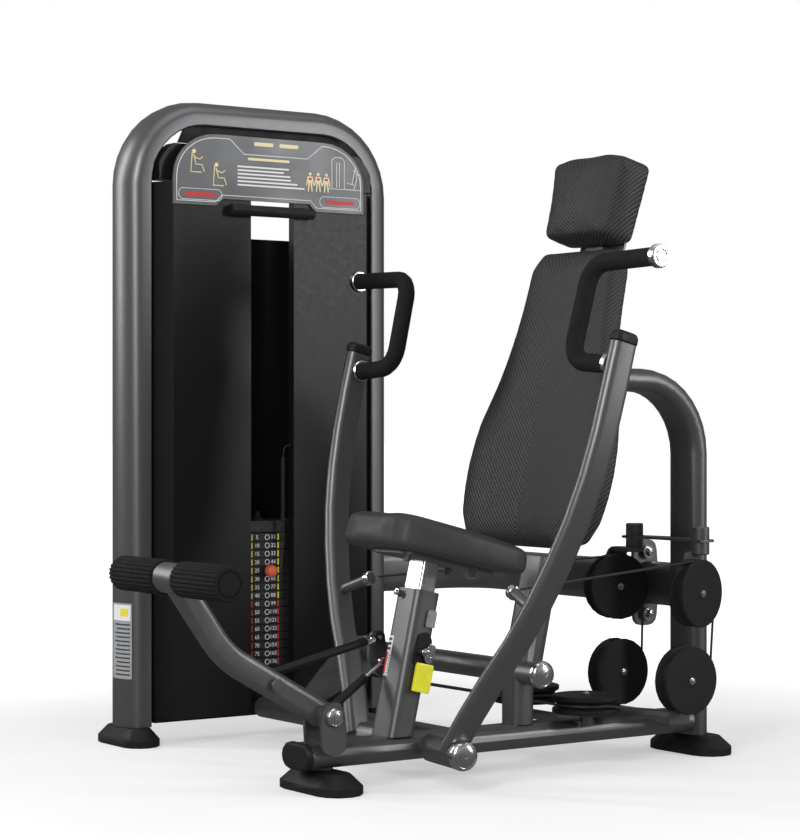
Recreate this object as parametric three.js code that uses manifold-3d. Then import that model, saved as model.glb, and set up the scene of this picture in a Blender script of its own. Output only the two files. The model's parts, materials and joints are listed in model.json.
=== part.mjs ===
// Selector-stack chest press with two converging arms and a foot-assist lever.
// Millimetres, +Z up, +X to the rear of the machine, +Y towards the weight tower.
import * as THREE from 'three';
import Module from 'manifold-3d';
import { mergeVertices } from 'three/addons/utils/BufferGeometryUtils.js';

const wasm = await Module();
wasm.setup();

const DEG = Math.PI / 180;
const GAP = 0.3;            // clearance between pieces that touch
const ORIGIN_X = -435;      // middle of the machine, measured in the layout frame
const ORIGIN_Y = 200.8;
const V = (x, y, z) => new THREE.Vector3(x, y, z);
const X_AXIS = V(1, 0, 0);
const Y_AXIS = V(0, 1, 0);
const Z_AXIS = V(0, 0, 1);

const group = new THREE.Group();
group.name = 'chest_press';

const MATERIALS = {
  frame_paint: { color: 0x3d3f42, metalness: 0.6, roughness: 0.4 },
  black_plastic: { color: 0x141414, metalness: 0.0, roughness: 0.6 },
  shroud_black: { color: 0x0c0c0d, metalness: 0.1, roughness: 0.25 },
  chrome: { color: 0xd8d8da, metalness: 1.0, roughness: 0.12 },
  rubber_grip: { color: 0x101010, metalness: 0.0, roughness: 0.8 },
  upholstery: { color: 0x242527, metalness: 0.0, roughness: 0.7 },
  plate_black: { color: 0x161616, metalness: 0.4, roughness: 0.5 },
  sign_grey: { color: 0x55585c, metalness: 0.2, roughness: 0.4 },
  yellow_vinyl: { color: 0xd8d400, metalness: 0.0, roughness: 0.4 },
  knob_orange: { color: 0xd04a1c, metalness: 0.0, roughness: 0.4 },
  cable_black: { color: 0x0f0f0f, metalness: 0.0, roughness: 0.5 },
};
const materials = {};
for (const [name, look] of Object.entries(MATERIALS)) {
  materials[name] = new THREE.MeshStandardMaterial({ name, ...look });
}

// ---------- geometry helpers ----------

function signedVolume(positions, index) {
  let volume = 0;
  for (let i = 0; i < index.length; i += 3) {
    const a = positions[index[i]];
    const b = positions[index[i + 1]];
    const c = positions[index[i + 2]];
    volume += a.dot(b.clone().cross(c)) / 6;
  }
  return volume;
}

function closedBody(points, index) {
  if (signedVolume(points, index) < 0) {
    for (let i = 0; i < index.length; i += 3) {
      const keep = index[i];
      index[i] = index[i + 1];
      index[i + 1] = keep;
    }
  }
  const geometry = new THREE.BufferGeometry();
  const numbers = points.flatMap((p) => [p.x, p.y, p.z]);
  geometry.setAttribute('position', new THREE.Float32BufferAttribute(numbers, 3));
  geometry.setIndex(index);
  return geometry;
}

// A skin over equal-length loops, with a fan over each end; crown lifts the fan's middle.
function loft(loops, crownStart = null, crownEnd = null) {
  const count = loops[0].length;
  const points = loops.flat();
  const index = [];
  for (let ring = 0; ring < loops.length - 1; ring++) {
    for (let i = 0; i < count; i++) {
      const a = ring * count + i;
      const b = ring * count + (i + 1) % count;
      index.push(a, b, b + count, a, b + count, a + count);
    }
  }
  const middle = (loop) => loop.reduce((sum, p) => sum.add(p), V(0, 0, 0)).divideScalar(count);
  const first = middle(loops[0]);
  const last = middle(loops[loops.length - 1]);
  if (crownStart) first.add(crownStart);
  if (crownEnd) last.add(crownEnd);
  const firstId = points.push(first) - 1;
  const lastId = points.push(last) - 1;
  const top = (loops.length - 1) * count;
  for (let i = 0; i < count; i++) {
    const next = (i + 1) % count;
    index.push(firstId, next, i);
    index.push(lastId, top + i, top + next);
  }
  return closedBody(points, index);
}

// A turned piece about Z. The profile is [radius, height] pairs from axis to axis,
// or an open list that closes on itself when it never touches the axis.
function turned(profile, sides = 24) {
  const onAxis = profile[0][0] === 0;
  const points = [];
  const rings = profile.map(([radius, height]) => {
    if (radius === 0) return [points.push(V(0, 0, height)) - 1];
    const ids = [];
    for (let i = 0; i < sides; i++) {
      const angle = (i / sides) * 2 * Math.PI;
      ids.push(points.push(V(radius * Math.cos(angle), radius * Math.sin(angle), height)) - 1);
    }
    return ids;
  });
  const index = [];
  const spans = onAxis ? rings.length - 1 : rings.length;
  for (let r = 0; r < spans; r++) {
    const low = rings[r];
    const high = rings[(r + 1) % rings.length];
    for (let i = 0; i < sides; i++) {
      const next = (i + 1) % sides;
      if (low.length === 1) index.push(low[0], high[next], high[i]);
      else if (high.length === 1) index.push(low[i], low[next], high[0]);
      else index.push(low[i], low[next], high[next], low[i], high[next], high[i]);
    }
  }
  return closedBody(points, index);
}

function place(geometry, centre, direction = Z_AXIS) {
  const turn = new THREE.Quaternion().setFromUnitVectors(Z_AXIS, direction.clone().normalize());
  geometry.applyQuaternion(turn);
  geometry.translate(centre.x, centre.y, centre.z);
  return geometry;
}

// A round bar between two points, with small chamfers.
function rod(from, to, radius, sides = 12, chamfer = 0.8) {
  const length = from.distanceTo(to);
  const direction = to.clone().sub(from).normalize();
  const profile = [[0, 0], [radius - chamfer, 0], [radius, chamfer], [radius, length - chamfer],
    [radius - chamfer, length], [0, length]];
  return place(turned(profile, sides), from, direction);
}

// A washer or sleeve between two points.
function sleeve(from, to, inner, outer, sides = 24) {
  const length = from.distanceTo(to);
  const direction = to.clone().sub(from).normalize();
  return place(turned([[inner, 0], [outer, 0], [outer, length], [inner, length]], sides), from, direction);
}

// A domed cap that starts at a point and bulges along a direction.
function dome(from, direction, radius, height, sides = 16) {
  const profile = [[0, 0], [radius, 0], [radius, height * 0.35], [radius * 0.93, height * 0.65],
    [radius * 0.78, height * 0.88], [radius * 0.55, height], [0, height]];
  return place(turned(profile, sides), from, direction);
}

function obround(width, height, arcs = 8) {
  const radius = Math.min(width, height) / 2;
  const reachX = width / 2 - radius;
  const reachY = height / 2 - radius;
  const loop = [];
  const steps = arcs * 2;
  for (let half = 0; half < 2; half++) {
    for (let i = 0; i <= steps; i++) {
      const start = width >= height ? -Math.PI / 2 : 0;
      const angle = start + half * Math.PI + (i / steps) * Math.PI;
      const side = half === 0 ? 1 : -1;
      loop.push([side * reachX + radius * Math.cos(angle), side * reachY + radius * Math.sin(angle)]);
    }
  }
  return loop;
}

function roundedRectangle(width, height, radius, arcs = 4) {
  const loop = [];
  for (let corner = 0; corner < 4; corner++) {
    const sx = corner === 0 || corner === 3 ? 1 : -1;
    const sy = corner < 2 ? 1 : -1;
    for (let i = 0; i <= arcs; i++) {
      const angle = (corner + i / arcs) * Math.PI / 2;
      loop.push([sx * (width / 2 - radius) + radius * Math.cos(angle),
        sy * (height / 2 - radius) + radius * Math.sin(angle)]);
    }
  }
  return loop;
}

// Rounds the corners of a plane polygon with a quadratic curve of the given reach.
function softened(corners, reach, arcs = 5) {
  const loop = [];
  corners.forEach((corner, i) => {
    const before = corners[(i + corners.length - 1) % corners.length];
    const after = corners[(i + 1) % corners.length];
    const pull = (target) => {
      const dx = target[0] - corner[0];
      const dy = target[1] - corner[1];
      const share = Math.min(0.49, reach / Math.hypot(dx, dy));
      return [corner[0] + dx * share, corner[1] + dy * share];
    };
    const a = pull(before);
    const b = pull(after);
    for (let k = 0; k <= arcs; k++) {
      const t = k / arcs;
      loop.push([0, 1].map((n) => (1 - t) ** 2 * a[n] + 2 * t * (1 - t) * corner[n] + t * t * b[n]));
    }
  });
  return loop;
}

// A path of straight runs with round bends, lying in one plane.
function bentPath(corners, radius, arcs = 8) {
  const path = [corners[0].clone()];
  for (let i = 1; i < corners.length - 1; i++) {
    const into = corners[i].clone().sub(corners[i - 1]).normalize();
    const out = corners[i + 1].clone().sub(corners[i]).normalize();
    const turn = Math.acos(THREE.MathUtils.clamp(into.dot(out), -1, 1));
    const cut = radius * Math.tan(turn / 2);
    const start = corners[i].clone().addScaledVector(into, -cut);
    const inward = out.clone().addScaledVector(into, -into.dot(out)).normalize();
    const centre = start.clone().addScaledVector(inward, radius);
    for (let k = 0; k <= arcs; k++) {
      const angle = (k / arcs) * turn;
      path.push(centre.clone().addScaledVector(inward, -radius * Math.cos(angle))
        .addScaledVector(into, radius * Math.sin(angle)));
    }
  }
  path.push(corners[corners.length - 1].clone());
  return path;
}

// Sweeps a loop along a path. side fixes the loop's first axis; without it the frame is carried along.
function sweep(profile, path, side = null) {
  let carried = side ? side.clone() : null;
  const loops = path.map((point, i) => {
    const before = path[Math.max(0, i - 1)];
    const after = path[Math.min(path.length - 1, i + 1)];
    const tangent = after.clone().sub(before).normalize();
    if (!carried) {
      const pick = Math.abs(tangent.z) < 0.9 ? Z_AXIS : X_AXIS;
      carried = pick.clone();
    }
    const first = carried.clone().addScaledVector(tangent, -carried.dot(tangent)).normalize();
    if (!side) carried = first;
    const second = tangent.clone().cross(first);
    return profile.map(([a, b]) => point.clone().addScaledVector(first, a).addScaledVector(second, b));
  });
  return loft(loops);
}

function circle(radius, sides = 8) {
  return Array.from({ length: sides }, (_, i) => {
    const angle = (i / sides) * 2 * Math.PI;
    return [radius * Math.cos(angle), radius * Math.sin(angle)];
  });
}

// A flat plate: a loop in the plane of two axes, thickened along their cross product.
function plate(loop, origin, alongA, alongB, thickness) {
  const normal = alongA.clone().cross(alongB).normalize();
  const at = (lift) => loop.map(([a, b]) => origin.clone().addScaledVector(alongA, a)
    .addScaledVector(alongB, b).addScaledVector(normal, lift));
  return loft([at(0), at(thickness)]);
}

// A plate that may be hollow or notched, triangulated as a plane shape.
function cutPlate(outline, holes, origin, alongA, alongB, thickness) {
  const shape = new THREE.Shape(outline.map(([a, b]) => new THREE.Vector2(a, b)));
  for (const hole of holes) shape.holes.push(new THREE.Path(hole.map(([a, b]) => new THREE.Vector2(a, b))));
  const geometry = new THREE.ExtrudeGeometry(shape, { depth: thickness, bevelEnabled: false });
  const normal = alongA.clone().cross(alongB).normalize();
  geometry.applyMatrix4(new THREE.Matrix4().makeBasis(alongA, alongB, normal));
  geometry.translate(origin.x, origin.y, origin.z);
  return geometry;
}

function box(low, high) {
  const size = high.clone().sub(low);
  const geometry = new THREE.BoxGeometry(size.x, size.y, size.z);
  geometry.translate((low.x + high.x) / 2, (low.y + high.y) / 2, (low.z + high.z) / 2);
  return geometry;
}

function toManifold(geometry) {
  const bare = geometry.clone();
  bare.deleteAttribute('normal');
  bare.deleteAttribute('uv');
  const merged = mergeVertices(bare, 1e-4);
  const mesh = new wasm.Mesh({
    numProp: 3,
    vertProperties: new Float32Array(merged.attributes.position.array),
    triVerts: new Uint32Array(merged.index.array),
  });
  return new wasm.Manifold(mesh);
}

function fromManifold(solid) {
  const mesh = solid.getMesh();
  const geometry = new THREE.BufferGeometry();
  geometry.setAttribute('position', new THREE.Float32BufferAttribute(mesh.vertProperties, 3));
  geometry.setIndex(Array.from(mesh.triVerts));
  return geometry;
}

function joined(...geometries) {
  let solid = toManifold(geometries[0]);
  for (const geometry of geometries.slice(1)) solid = solid.add(toManifold(geometry));
  return fromManifold(solid);
}

function cutBy(geometry, ...tools) {
  let solid = toManifold(geometry);
  for (const tool of tools) solid = solid.subtract(toManifold(tool));
  return fromManifold(solid);
}

function add(name, material, geometry) {
  geometry.translate(-ORIGIN_X, -ORIGIN_Y, 0);
  geometry.computeVertexNormals();
  const mesh = new THREE.Mesh(geometry, materials[material]);
  mesh.name = name;
  group.add(mesh);
}

// ---------- base frame ----------

const BASE_Z = 74;          // height of the base tube's centre
const BASE_TOP = BASE_Z + 25;
const BASE_FRONT = -815;
const ARCH_X = 228;         // rear upright
const ARCH_TOP = 839;       // height of the rear arch's top run
const ARCH_END = -100;      // where that run meets the back rest
const FOOT_TOP = 42;
const FRONT_FOOT_X = -765;
const TOWER_BEAM_X = -430;   // the beam that ties the tower to the base tube
const TOWER_X = -420;
const TOWER_Y = 832;
const TOWER_LEG = 335;      // half distance between the leg centres
const ARM_YAW = 9.4 * DEG;
const PIVOT_OUT = 200;      // lateral reach of the arm pivots
const PIVOT_X = -557.8;
const PIVOT_Z = 77;

function foot(x, y, grow) {
  const ring = (width, length, z) => obround(width * grow, length * grow, 3)
    .map(([a, b]) => V(x + a, y + b, z));
  return loft([ring(86, 196, 0), ring(90, 200, 2), ring(90, 200, 18), ring(60, 150, FOOT_TOP - 3),
    ring(54, 144, FOOT_TOP)]);
}

const BASE_FOOT = 1.13;     // the base tube's feet are larger than the tower's
const FEET = {
  front_foot: [FRONT_FOOT_X, 0, BASE_FOOT],
  rear_foot: [ARCH_X + 6, 0, BASE_FOOT],
  tower_foot_left: [TOWER_X - TOWER_LEG, TOWER_Y, 1],
  tower_foot_right: [TOWER_X + TOWER_LEG, TOWER_Y, 1],
};
for (const [name, [x, y, grow]] of Object.entries(FEET)) {
  add(name, 'black_plastic', foot(x, y, grow));
}

// The arm axis runs inboard from its outer end; side is -1 for the near arm and 1 for the far arm.
function armAxis(side) {
  return V(Math.sin(ARM_YAW), -side * Math.cos(ARM_YAW), 0);
}
function armPoint(side, inboard) {
  return V(PIVOT_X, side * PIVOT_OUT, PIVOT_Z).addScaledVector(armAxis(side), inboard);
}

function baseTube() {
  const ends = [V(BASE_FRONT, 0, BASE_Z), V(ARCH_X - 25 - GAP, 0, BASE_Z)];
  const tube = sweep(obround(100, 50, 3), ends, Y_AXIS);
  const stub = rod(V(FRONT_FOOT_X, 0, FOOT_TOP + GAP), V(FRONT_FOOT_X, 0, BASE_Z), 24);
  const shafts = [-1, 1].map((side) => rod(armPoint(side, 0), armPoint(side, 175), 20, 24));
  const caps = [-1, 1].map((side) => dome(armPoint(side, 1), armAxis(side).negate(), 30, 18));
  const crossRun = [V(TOWER_BEAM_X, 0, BASE_Z - 1), V(TOWER_BEAM_X, 742, BASE_Z - 1)];
  const crossBeam = sweep(obround(80, 50, 3), crossRun, X_AXIS);
  return joined(tube, stub, ...shafts, ...caps, crossBeam, ...lowerStands(),
    ...flatPulleyPosts(), leverBracket());
}

function endCap() {
  const ring = (width, height, x) => obround(width, height, 3).map(([a, b]) => V(x, a, BASE_Z + b));
  return loft([ring(96, 46, BASE_FRONT - 14), ring(104, 54, BASE_FRONT - 10), ring(106, 56, BASE_FRONT - 6),
    ring(106, 56, BASE_FRONT - GAP)]);
}
add('front_end_cap', 'black_plastic', endCap());

function rearArch() {
  const corners = [V(ARCH_X, 0, FOOT_TOP + GAP), V(ARCH_X, 0, ARCH_TOP), V(ARCH_END, 0, ARCH_TOP)];
  const stubRun = [V(BEAM_X - 2, 0, BEAM_Z), V(BEAM_X - 2, FLANGE_Y - GAP, BEAM_Z)];
  const stub = sweep(obround(100, 50, 3), stubRun, Z_AXIS);
  return joined(sweep(obround(100, 50, 3), bentPath(corners, 165, 9), Y_AXIS), stub, swivelStrap());
}

const CROSS_X = -265;
const CROSS_Z = 211;
const POST_LEAN = 13 * DEG;
const LEAN_X = Math.sin(POST_LEAN);
const LEAN_Z = Math.cos(POST_LEAN);
const LEAN = V(LEAN_X, 0, LEAN_Z);          // up along the leaning posts
const LEAN_BACK = V(LEAN_Z, 0, -LEAN_X);    // rearward, square to them

function crossTube() {
  const tube = rod(V(CROSS_X, -84, CROSS_Z), V(CROSS_X, 610, CROSS_Z), 25, 24);
  const stand = sweep(roundedRectangle(64, 56, 20, 4),
    [V(CROSS_X + 3, 0, BASE_TOP + GAP), V(CROSS_X + 3, 0, CROSS_Z)], Y_AXIS);
  const post = sweep(obround(100, 50, 3), [V(CROSS_X + 14, 0, CROSS_Z), V(-197, 0, 452)], Y_AXIS);
  const cap = dome(V(CROSS_X, -83, CROSS_Z), V(0, -1, 0), 29, 16);
  return joined(tube, stand, post, cap, crossBracket());
}

function crossBracket() {
  const outline = softened([[-205, 98.5], [-125, 98.5], [34, 172], [34, 245], [-60, 245]], 22, 3);
  return cutPlate(outline, [], V(CROSS_X, 574, 0), X_AXIS, Z_AXIS, 8);
}
add('back_post', 'frame_paint', crossTube());

const BEAM_X = 245;
const BEAM_Z = 373;
const FLANGE_Y = 158;       // where the beam bolts to the rear arch's stub
function upperBeam() {
  const end = TOWER_X + TOWER_LEG + 30 + GAP;
  const corners = [V(BEAM_X, FLANGE_Y + 4, BEAM_Z), V(BEAM_X, TOWER_Y, BEAM_Z), V(end, TOWER_Y, BEAM_Z)];
  const beam = sweep(obround(100, 50, 3), bentPath(corners, 100, 6), Z_AXIS);
  const bolts = [-1, 1].map((level) => rod(V(BEAM_X - 8, FLANGE_Y + 3, BEAM_Z + level * FLANGE_REACH),
    V(BEAM_X - 8, FLANGE_Y - 9, BEAM_Z + level * FLANGE_REACH), 10, 6, 1));
  return joined(beam, beamFlange(), ...bolts);
}

const FLANGE_REACH = 72;    // bolts above and below the beam's middle
function beamFlange() {
  const outline = softened([[-32, -100], [32, -100], [38, -50], [38, 50], [32, 100], [-32, 100],
    [-38, 50], [-38, -50]], 24, 3);
  return plate(outline, V(BEAM_X - 8, FLANGE_Y + 10, BEAM_Z), X_AXIS, Z_AXIS, 10);
}
add('upper_beam', 'frame_paint', upperBeam());

// ---------- weight tower ----------

function towerProfile() {
  const loop = [[-30, -56], [-27, -59], [-4, -59]];
  const steps = 8;
  for (let i = 1; i < steps; i++) {
    const angle = -Math.PI / 2 + (i / steps) * Math.PI;
    loop.push([-4 + 34 * Math.cos(angle), 59 * Math.sin(angle)]);
  }
  loop.push([-4, 59], [-27, 59], [-30, 56]);
  return loop;
}

function towerArch() {
  const left = TOWER_X - TOWER_LEG;
  const right = TOWER_X + TOWER_LEG;
  const top = 1468;
  const corners = [V(left, TOWER_Y, FOOT_TOP + GAP), V(left, TOWER_Y, top), V(right, TOWER_Y, top),
    V(right, TOWER_Y, FOOT_TOP + GAP)];
  const path = bentPath(corners, 172, 9);
  const loops = path.map((point, i) => {
    const before = path[Math.max(0, i - 1)];
    const after = path[Math.min(path.length - 1, i + 1)];
    const tangent = after.clone().sub(before).normalize();
    const outward = tangent.clone().cross(Y_AXIS);
    return towerProfile().map(([a, b]) => point.clone()
      .addScaledVector(outward, a).addScaledVector(Y_AXIS, b));
  });
  return joined(loft(loops), signHanger());
}

const SHROUD_FRONT = 740;
const SHROUD_LOW = 60;
const SHROUD_HIGH = 1300;
const SLOT_HALF = 59.5;
const SHEET = 3;
const FLANGE_END = 763;     // how far the slot's edges turn in

// Plan of a front shroud: a folded sheet, given by its outer line and thickened inwards.
function shroud(side) {
  const outer = [[-302, 800], [-296, 776], [-268, SHROUD_FRONT], [-SLOT_HALF, SHROUD_FRONT],
    [-SLOT_HALF, FLANGE_END]];
  const inner = [[-SLOT_HALF - SHEET, FLANGE_END], [-SLOT_HALF - SHEET, SHROUD_FRONT + SHEET],
    [-266.8, SHROUD_FRONT + SHEET], [-293.4, 777.4], [-299, 800]];
  const outline = [...outer, ...inner].map(([x, y]) => [TOWER_X + side * x, y]);
  return cutPlate(outline, [], V(0, 0, SHROUD_LOW), X_AXIS, Y_AXIS, SHROUD_HIGH - SHROUD_LOW);
}
add('shroud_left', 'shroud_black', shroud(1));
add('shroud_right', 'shroud_black', shroud(-1));

function topCover() {
  const low = SHROUD_HIGH + GAP + 4;
  const right = [[294, low], [294, 1345], [284, 1364], [270, 1380], [254, 1391]];
  const left = right.map(([x, z]) => [-x, z]).reverse();
  const outline = [...right, ...left].map(([x, z]) => [TOWER_X + x, z]);
  return cutPlate(outline, [], V(0, 800, 0), X_AXIS, Z_AXIS, 40);
}
add('shroud_top', 'shroud_black', topCover());

function rearCover() {
  const outline = [[-296, 868], [296, 868], [296, 884], [-296, 884]].map(([x, y]) => [TOWER_X + x, y]);
  return cutPlate(outline, [], V(0, 0, SHROUD_LOW), X_AXIS, Y_AXIS, 1127);
}
add('rear_cover', 'shroud_black', rearCover());

const SIGN_LOW = 1248;
const SIGN_X = TOWER_X - 8;
function signOutline() {
  const half = 264;
  const shoulder = [150, 1312];
  const reach = [half - shoulder[0], 1415 - shoulder[1]];
  const steps = 7;
  const right = [];
  for (let i = 0; i <= steps; i++) {
    const angle = (i / steps) * Math.PI / 2;
    right.push([shoulder[0] + reach[0] * Math.cos(angle), shoulder[1] + reach[1] * Math.sin(angle)]);
  }
  const left = right.map(([x, z]) => [-x, z]).reverse();
  const low = [[-half, SIGN_LOW], [-150, SIGN_LOW], [-132, SIGN_LOW + 17], [108, SIGN_LOW + 17],
    [126, SIGN_LOW], [half, SIGN_LOW]];
  return [...low, ...right, ...left].map(([x, z]) => [SIGN_X + x, z]);
}
add('sign_plate', 'sign_grey', cutPlate(signOutline(), [], V(0, SHROUD_FRONT - GAP, 0), X_AXIS,
  Z_AXIS, 5));

// A rounded bar bridges the slot just under the sign.
function slotBar() {
  const z = SIGN_LOW - 7;
  const y = SHROUD_FRONT - GAP - 12;
  return sweep(obround(26, 24, 4), [V(TOWER_X - 122, y, z), V(TOWER_X + 106, y, z)], Z_AXIS);
}
add('slot_bar', 'black_plastic', slotBar());

const HANGER_Y = 792;
function signHanger() {
  const outline = [[-207, 1445], [-230, 1396], [230, 1396], [207, 1445]].map(([x, z]) => [TOWER_X + x, z]);
  return cutPlate(outline, [], V(0, HANGER_Y, 0), X_AXIS, Z_AXIS, 6);
}
add('tower_arch', 'frame_paint', towerArch());

const STACK_FRONT = 765;
const STACK_Y = STACK_FRONT + 50;
const STACK_HALF = 150;
const STACK_BOTTOM = 166;
const PLATE_PITCH = 19.7;
const LIFTED = 5;
const RESTING = 11;
const HEAD_BOTTOM = STACK_BOTTOM + (LIFTED + RESTING) * PLATE_PITCH + 2;
const ROD_REACH = 108;
const ROD_RADIUS = 10;

// Cuts the guide rods' clearance holes through a block of the stack.
function withRodHoles(block, low, high) {
  const holes = [-1, 1].map((side) => rod(V(TOWER_X + side * ROD_REACH, STACK_Y, low - 5),
    V(TOWER_X + side * ROD_REACH, STACK_Y, high + 5), ROD_RADIUS + 1, 12, 0.1));
  return cutBy(block, ...holes);
}

// Several plates in one body, parted by shallow grooves.
function plateBlock(low, count) {
  const loops = [];
  const ring = (inset, z) => [[1, 1], [-1, 1], [-1, -1], [1, -1]]
    .map(([a, b]) => V(TOWER_X + a * (STACK_HALF - inset), STACK_Y + b * (50 - inset), z));
  for (let i = 0; i < count; i++) {
    const z = low + i * PLATE_PITCH;
    if (i > 0) loops.push(ring(2.5, z), ring(2.5, z + 1.2));
    loops.push(ring(0, z + (i > 0 ? 1.4 : 0)), ring(0, z + PLATE_PITCH - 0.3));
  }
  return withRodHoles(loft(loops), low, low + count * PLATE_PITCH);
}
add('resting_plates', 'plate_black', plateBlock(STACK_BOTTOM, RESTING));
add('lifted_plates', 'plate_black', plateBlock(STACK_BOTTOM + RESTING * PLATE_PITCH + 0.5, LIFTED));

function headPlate() {
  const ring = (inset, z) => roundedRectangle(2 * (STACK_HALF - inset), 2 * (50 - inset), 8, 2)
    .map(([a, b]) => V(TOWER_X + a, STACK_Y + b, z));
  const block = loft([ring(1, HEAD_BOTTOM), ring(0, HEAD_BOTTOM + 1), ring(0, HEAD_BOTTOM + 27),
    ring(2, HEAD_BOTTOM + 28)]);
  return joined(withRodHoles(block, HEAD_BOTTOM, HEAD_BOTTOM + 28), stackStem());
}
const STEM_TOP = HEAD_BOTTOM + 48;
function stackStem() {
  const z = HEAD_BOTTOM + 27;
  const profile = [[0, 0], [16, 0], [16, 6], [9, 7], [9, STEM_TOP - z], [0, STEM_TOP - z]];
  return place(turned(profile, 20), V(TOWER_X, STACK_Y, z));
}
add('head_plate', 'plate_black', headPlate());

const ROD_LOW = 118;
const ROD_HIGH = 1300;
function stackBase() {
  const buffer = box(V(TOWER_X - 155, STACK_Y - 48, 95), V(TOWER_X + 155, STACK_Y + 46,
    STACK_BOTTOM - GAP));
  const rail = box(V(TOWER_X - 292, STACK_Y - 30, 49), V(TOWER_X + 292, STACK_Y + 30, 101));
  const sockets = [-1, 1].map((side) => rod(V(TOWER_X + side * ROD_REACH, STACK_Y, ROD_LOW - GAP),
    V(TOWER_X + side * ROD_REACH, STACK_Y, 200), ROD_RADIUS + GAP, 16, 0.1));
  return cutBy(joined(buffer, rail), ...sockets);
}
add('stack_base', 'black_plastic', stackBase());

function guideRods() {
  const rods = [-1, 1].map((side) => rod(V(TOWER_X + side * ROD_REACH, STACK_Y, ROD_LOW),
    V(TOWER_X + side * ROD_REACH, STACK_Y, ROD_HIGH), ROD_RADIUS, 16));
  const bridge = box(V(TOWER_X - 130, STACK_Y - 14, ROD_HIGH - 6), V(TOWER_X + 130, STACK_Y + 14,
    ROD_HIGH));
  return joined(...rods, bridge);
}
add('guide_rods', 'chrome', guideRods());

const PIN_Z = STACK_BOTTOM + (RESTING + 0.5) * PLATE_PITCH;
function selectorKnob() {
  const profile = [[0, 0], [6, 0], [7, 6], [13, 10], [14.5, 18], [13, 27], [9, 31], [0, 32]];
  return place(turned(profile, 20), V(TOWER_X, STACK_FRONT - GAP, PIN_Z), V(0, -1, 0));
}
add('selector_pin', 'knob_orange', selectorKnob());

// The curly lanyard hangs from the right shroud and ends at the pin's knob.
const LANYARD_TOP = 690;
const LANYARD_X = TOWER_X + 34;
function lanyard() {
  const path = [V(TOWER_X + SLOT_HALF - 2, 750, LANYARD_TOP), V(LANYARD_X + 6, 750, LANYARD_TOP - 4),
    V(LANYARD_X, 749, LANYARD_TOP - 22), V(LANYARD_X, 748, 520), V(LANYARD_X - 2, 746, 440),
    V(TOWER_X + 22, 746, PIN_Z + 4)];
  return sweep(circle(5, 8), path);
}
add('lanyard', 'cable_black', lanyard());

// ---------- press arms ----------

const ARM_START_Z = 80;
const ARM_TILT = 0.2448;    // rearward run per unit of height
const ARM_LINE = [[166, 80], [236, 200], [320, 320], [382, 440], [427, 560], [452, 680], [461, 800],
  [464, 900]];
const armNormal = V(1, 0, -ARM_TILT).normalize();
const armX = (z) => -562 + ARM_TILT * (z - ARM_START_Z);

function armSpot(side, y, z, forward = 0) {
  return V(armX(z) - forward, side * y, z);
}

function armPath(side) {
  const curve = new THREE.CatmullRomCurve3(ARM_LINE.map(([y, z]) => armSpot(side, y, z)));
  return curve.getSpacedPoints(10);
}

const HANDLE_LOW = 860;
const HANDLE_HIGH = 1066;
const HANDLE_IN = 312;
const HANDLE_OUT = 527;
const GRIP_RADIUS = 19;
const CORE_RADIUS = 13;

function handlePath(side, from, to) {
  const corners = [armSpot(side, from, HANDLE_LOW), armSpot(side, HANDLE_IN, HANDLE_LOW + 8),
    armSpot(side, HANDLE_IN + 8, HANDLE_HIGH), armSpot(side, to, HANDLE_HIGH + 4)];
  return bentPath(corners, 46, 5);
}

function armWeldment(side) {
  const beam = sweep(obround(60, 30, 3), armPath(side), armNormal);
  const hub = rod(armPoint(side, 3), armPoint(side, 138), 30, 16, 2);
  const core = sweep(circle(CORE_RADIUS, 8), handlePath(side, 464, HANDLE_OUT - 4), armNormal);
  const stub = rod(armSpot(side, 350, 372), V(-474, side * 262, 402), 11, 14);
  const bore = rod(armPoint(side, -5), armPoint(side, 150), 20 + 2 * GAP, 24, 0.1);
  return cutBy(joined(beam, hub, core, stub, lowCollar(side), cableJoint(side)), bore);
}

function armCap(side) {
  const top = ARM_LINE[ARM_LINE.length - 1];
  const up = V(ARM_TILT, 0, 1).normalize();
  const middle = armSpot(side, top[0], top[1]);
  const ring = (grow, lift) => obround(60 + grow, 30 + grow, 3).map(([a, b]) => middle.clone()
    .addScaledVector(armNormal, a).addScaledVector(Y_AXIS, b).addScaledVector(up, lift));
  return loft([ring(1, GAP + 1.2), ring(3, 3), ring(3, 15), ring(-4, 21), ring(-16, 24)]);
}

function gripSleeve(side) {
  const outer = sweep(circle(GRIP_RADIUS, 12), handlePath(side, 430, HANDLE_OUT - 14), armNormal);
  const inner = sweep(circle(CORE_RADIUS + 1.2, 8), handlePath(side, 455, HANDLE_OUT + 20), armNormal);
  return cutBy(outer, inner);
}

function lowCollar(side) {
  const path = handlePath(side, 446, HANDLE_OUT);
  const inward = path[1].clone().sub(path[0]).normalize();
  const from = path[0].clone().addScaledVector(inward, 3);
  return rod(from, from.clone().addScaledVector(inward, 11.7), 24, 24, 2);
}

function endCollar(side) {
  const path = handlePath(side, 446, HANDLE_OUT);
  const last = path[path.length - 1];
  const outward = last.clone().sub(path[path.length - 2]).normalize();
  const from = last.clone().addScaledVector(outward, -13);
  const profile = [[0, 10], [CORE_RADIUS + 0.6, 10], [CORE_RADIUS + 0.6, 0], [22, 0], [24, 2], [24, 13],
    [21, 16], [15, 16], [14, 13], [0, 13]];
  return place(turned(profile, 18), from, outward);
}

function cableJoint(side) {
  const stubEnd = V(-474, side * 262, 402);
  const stubLine = armSpot(side, 350, 372).sub(stubEnd).normalize();
  const from = stubEnd.clone().addScaledVector(stubLine, 2);
  return rod(from, from.clone().addScaledVector(stubLine, -15), 15, 20, 2);
}

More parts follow.
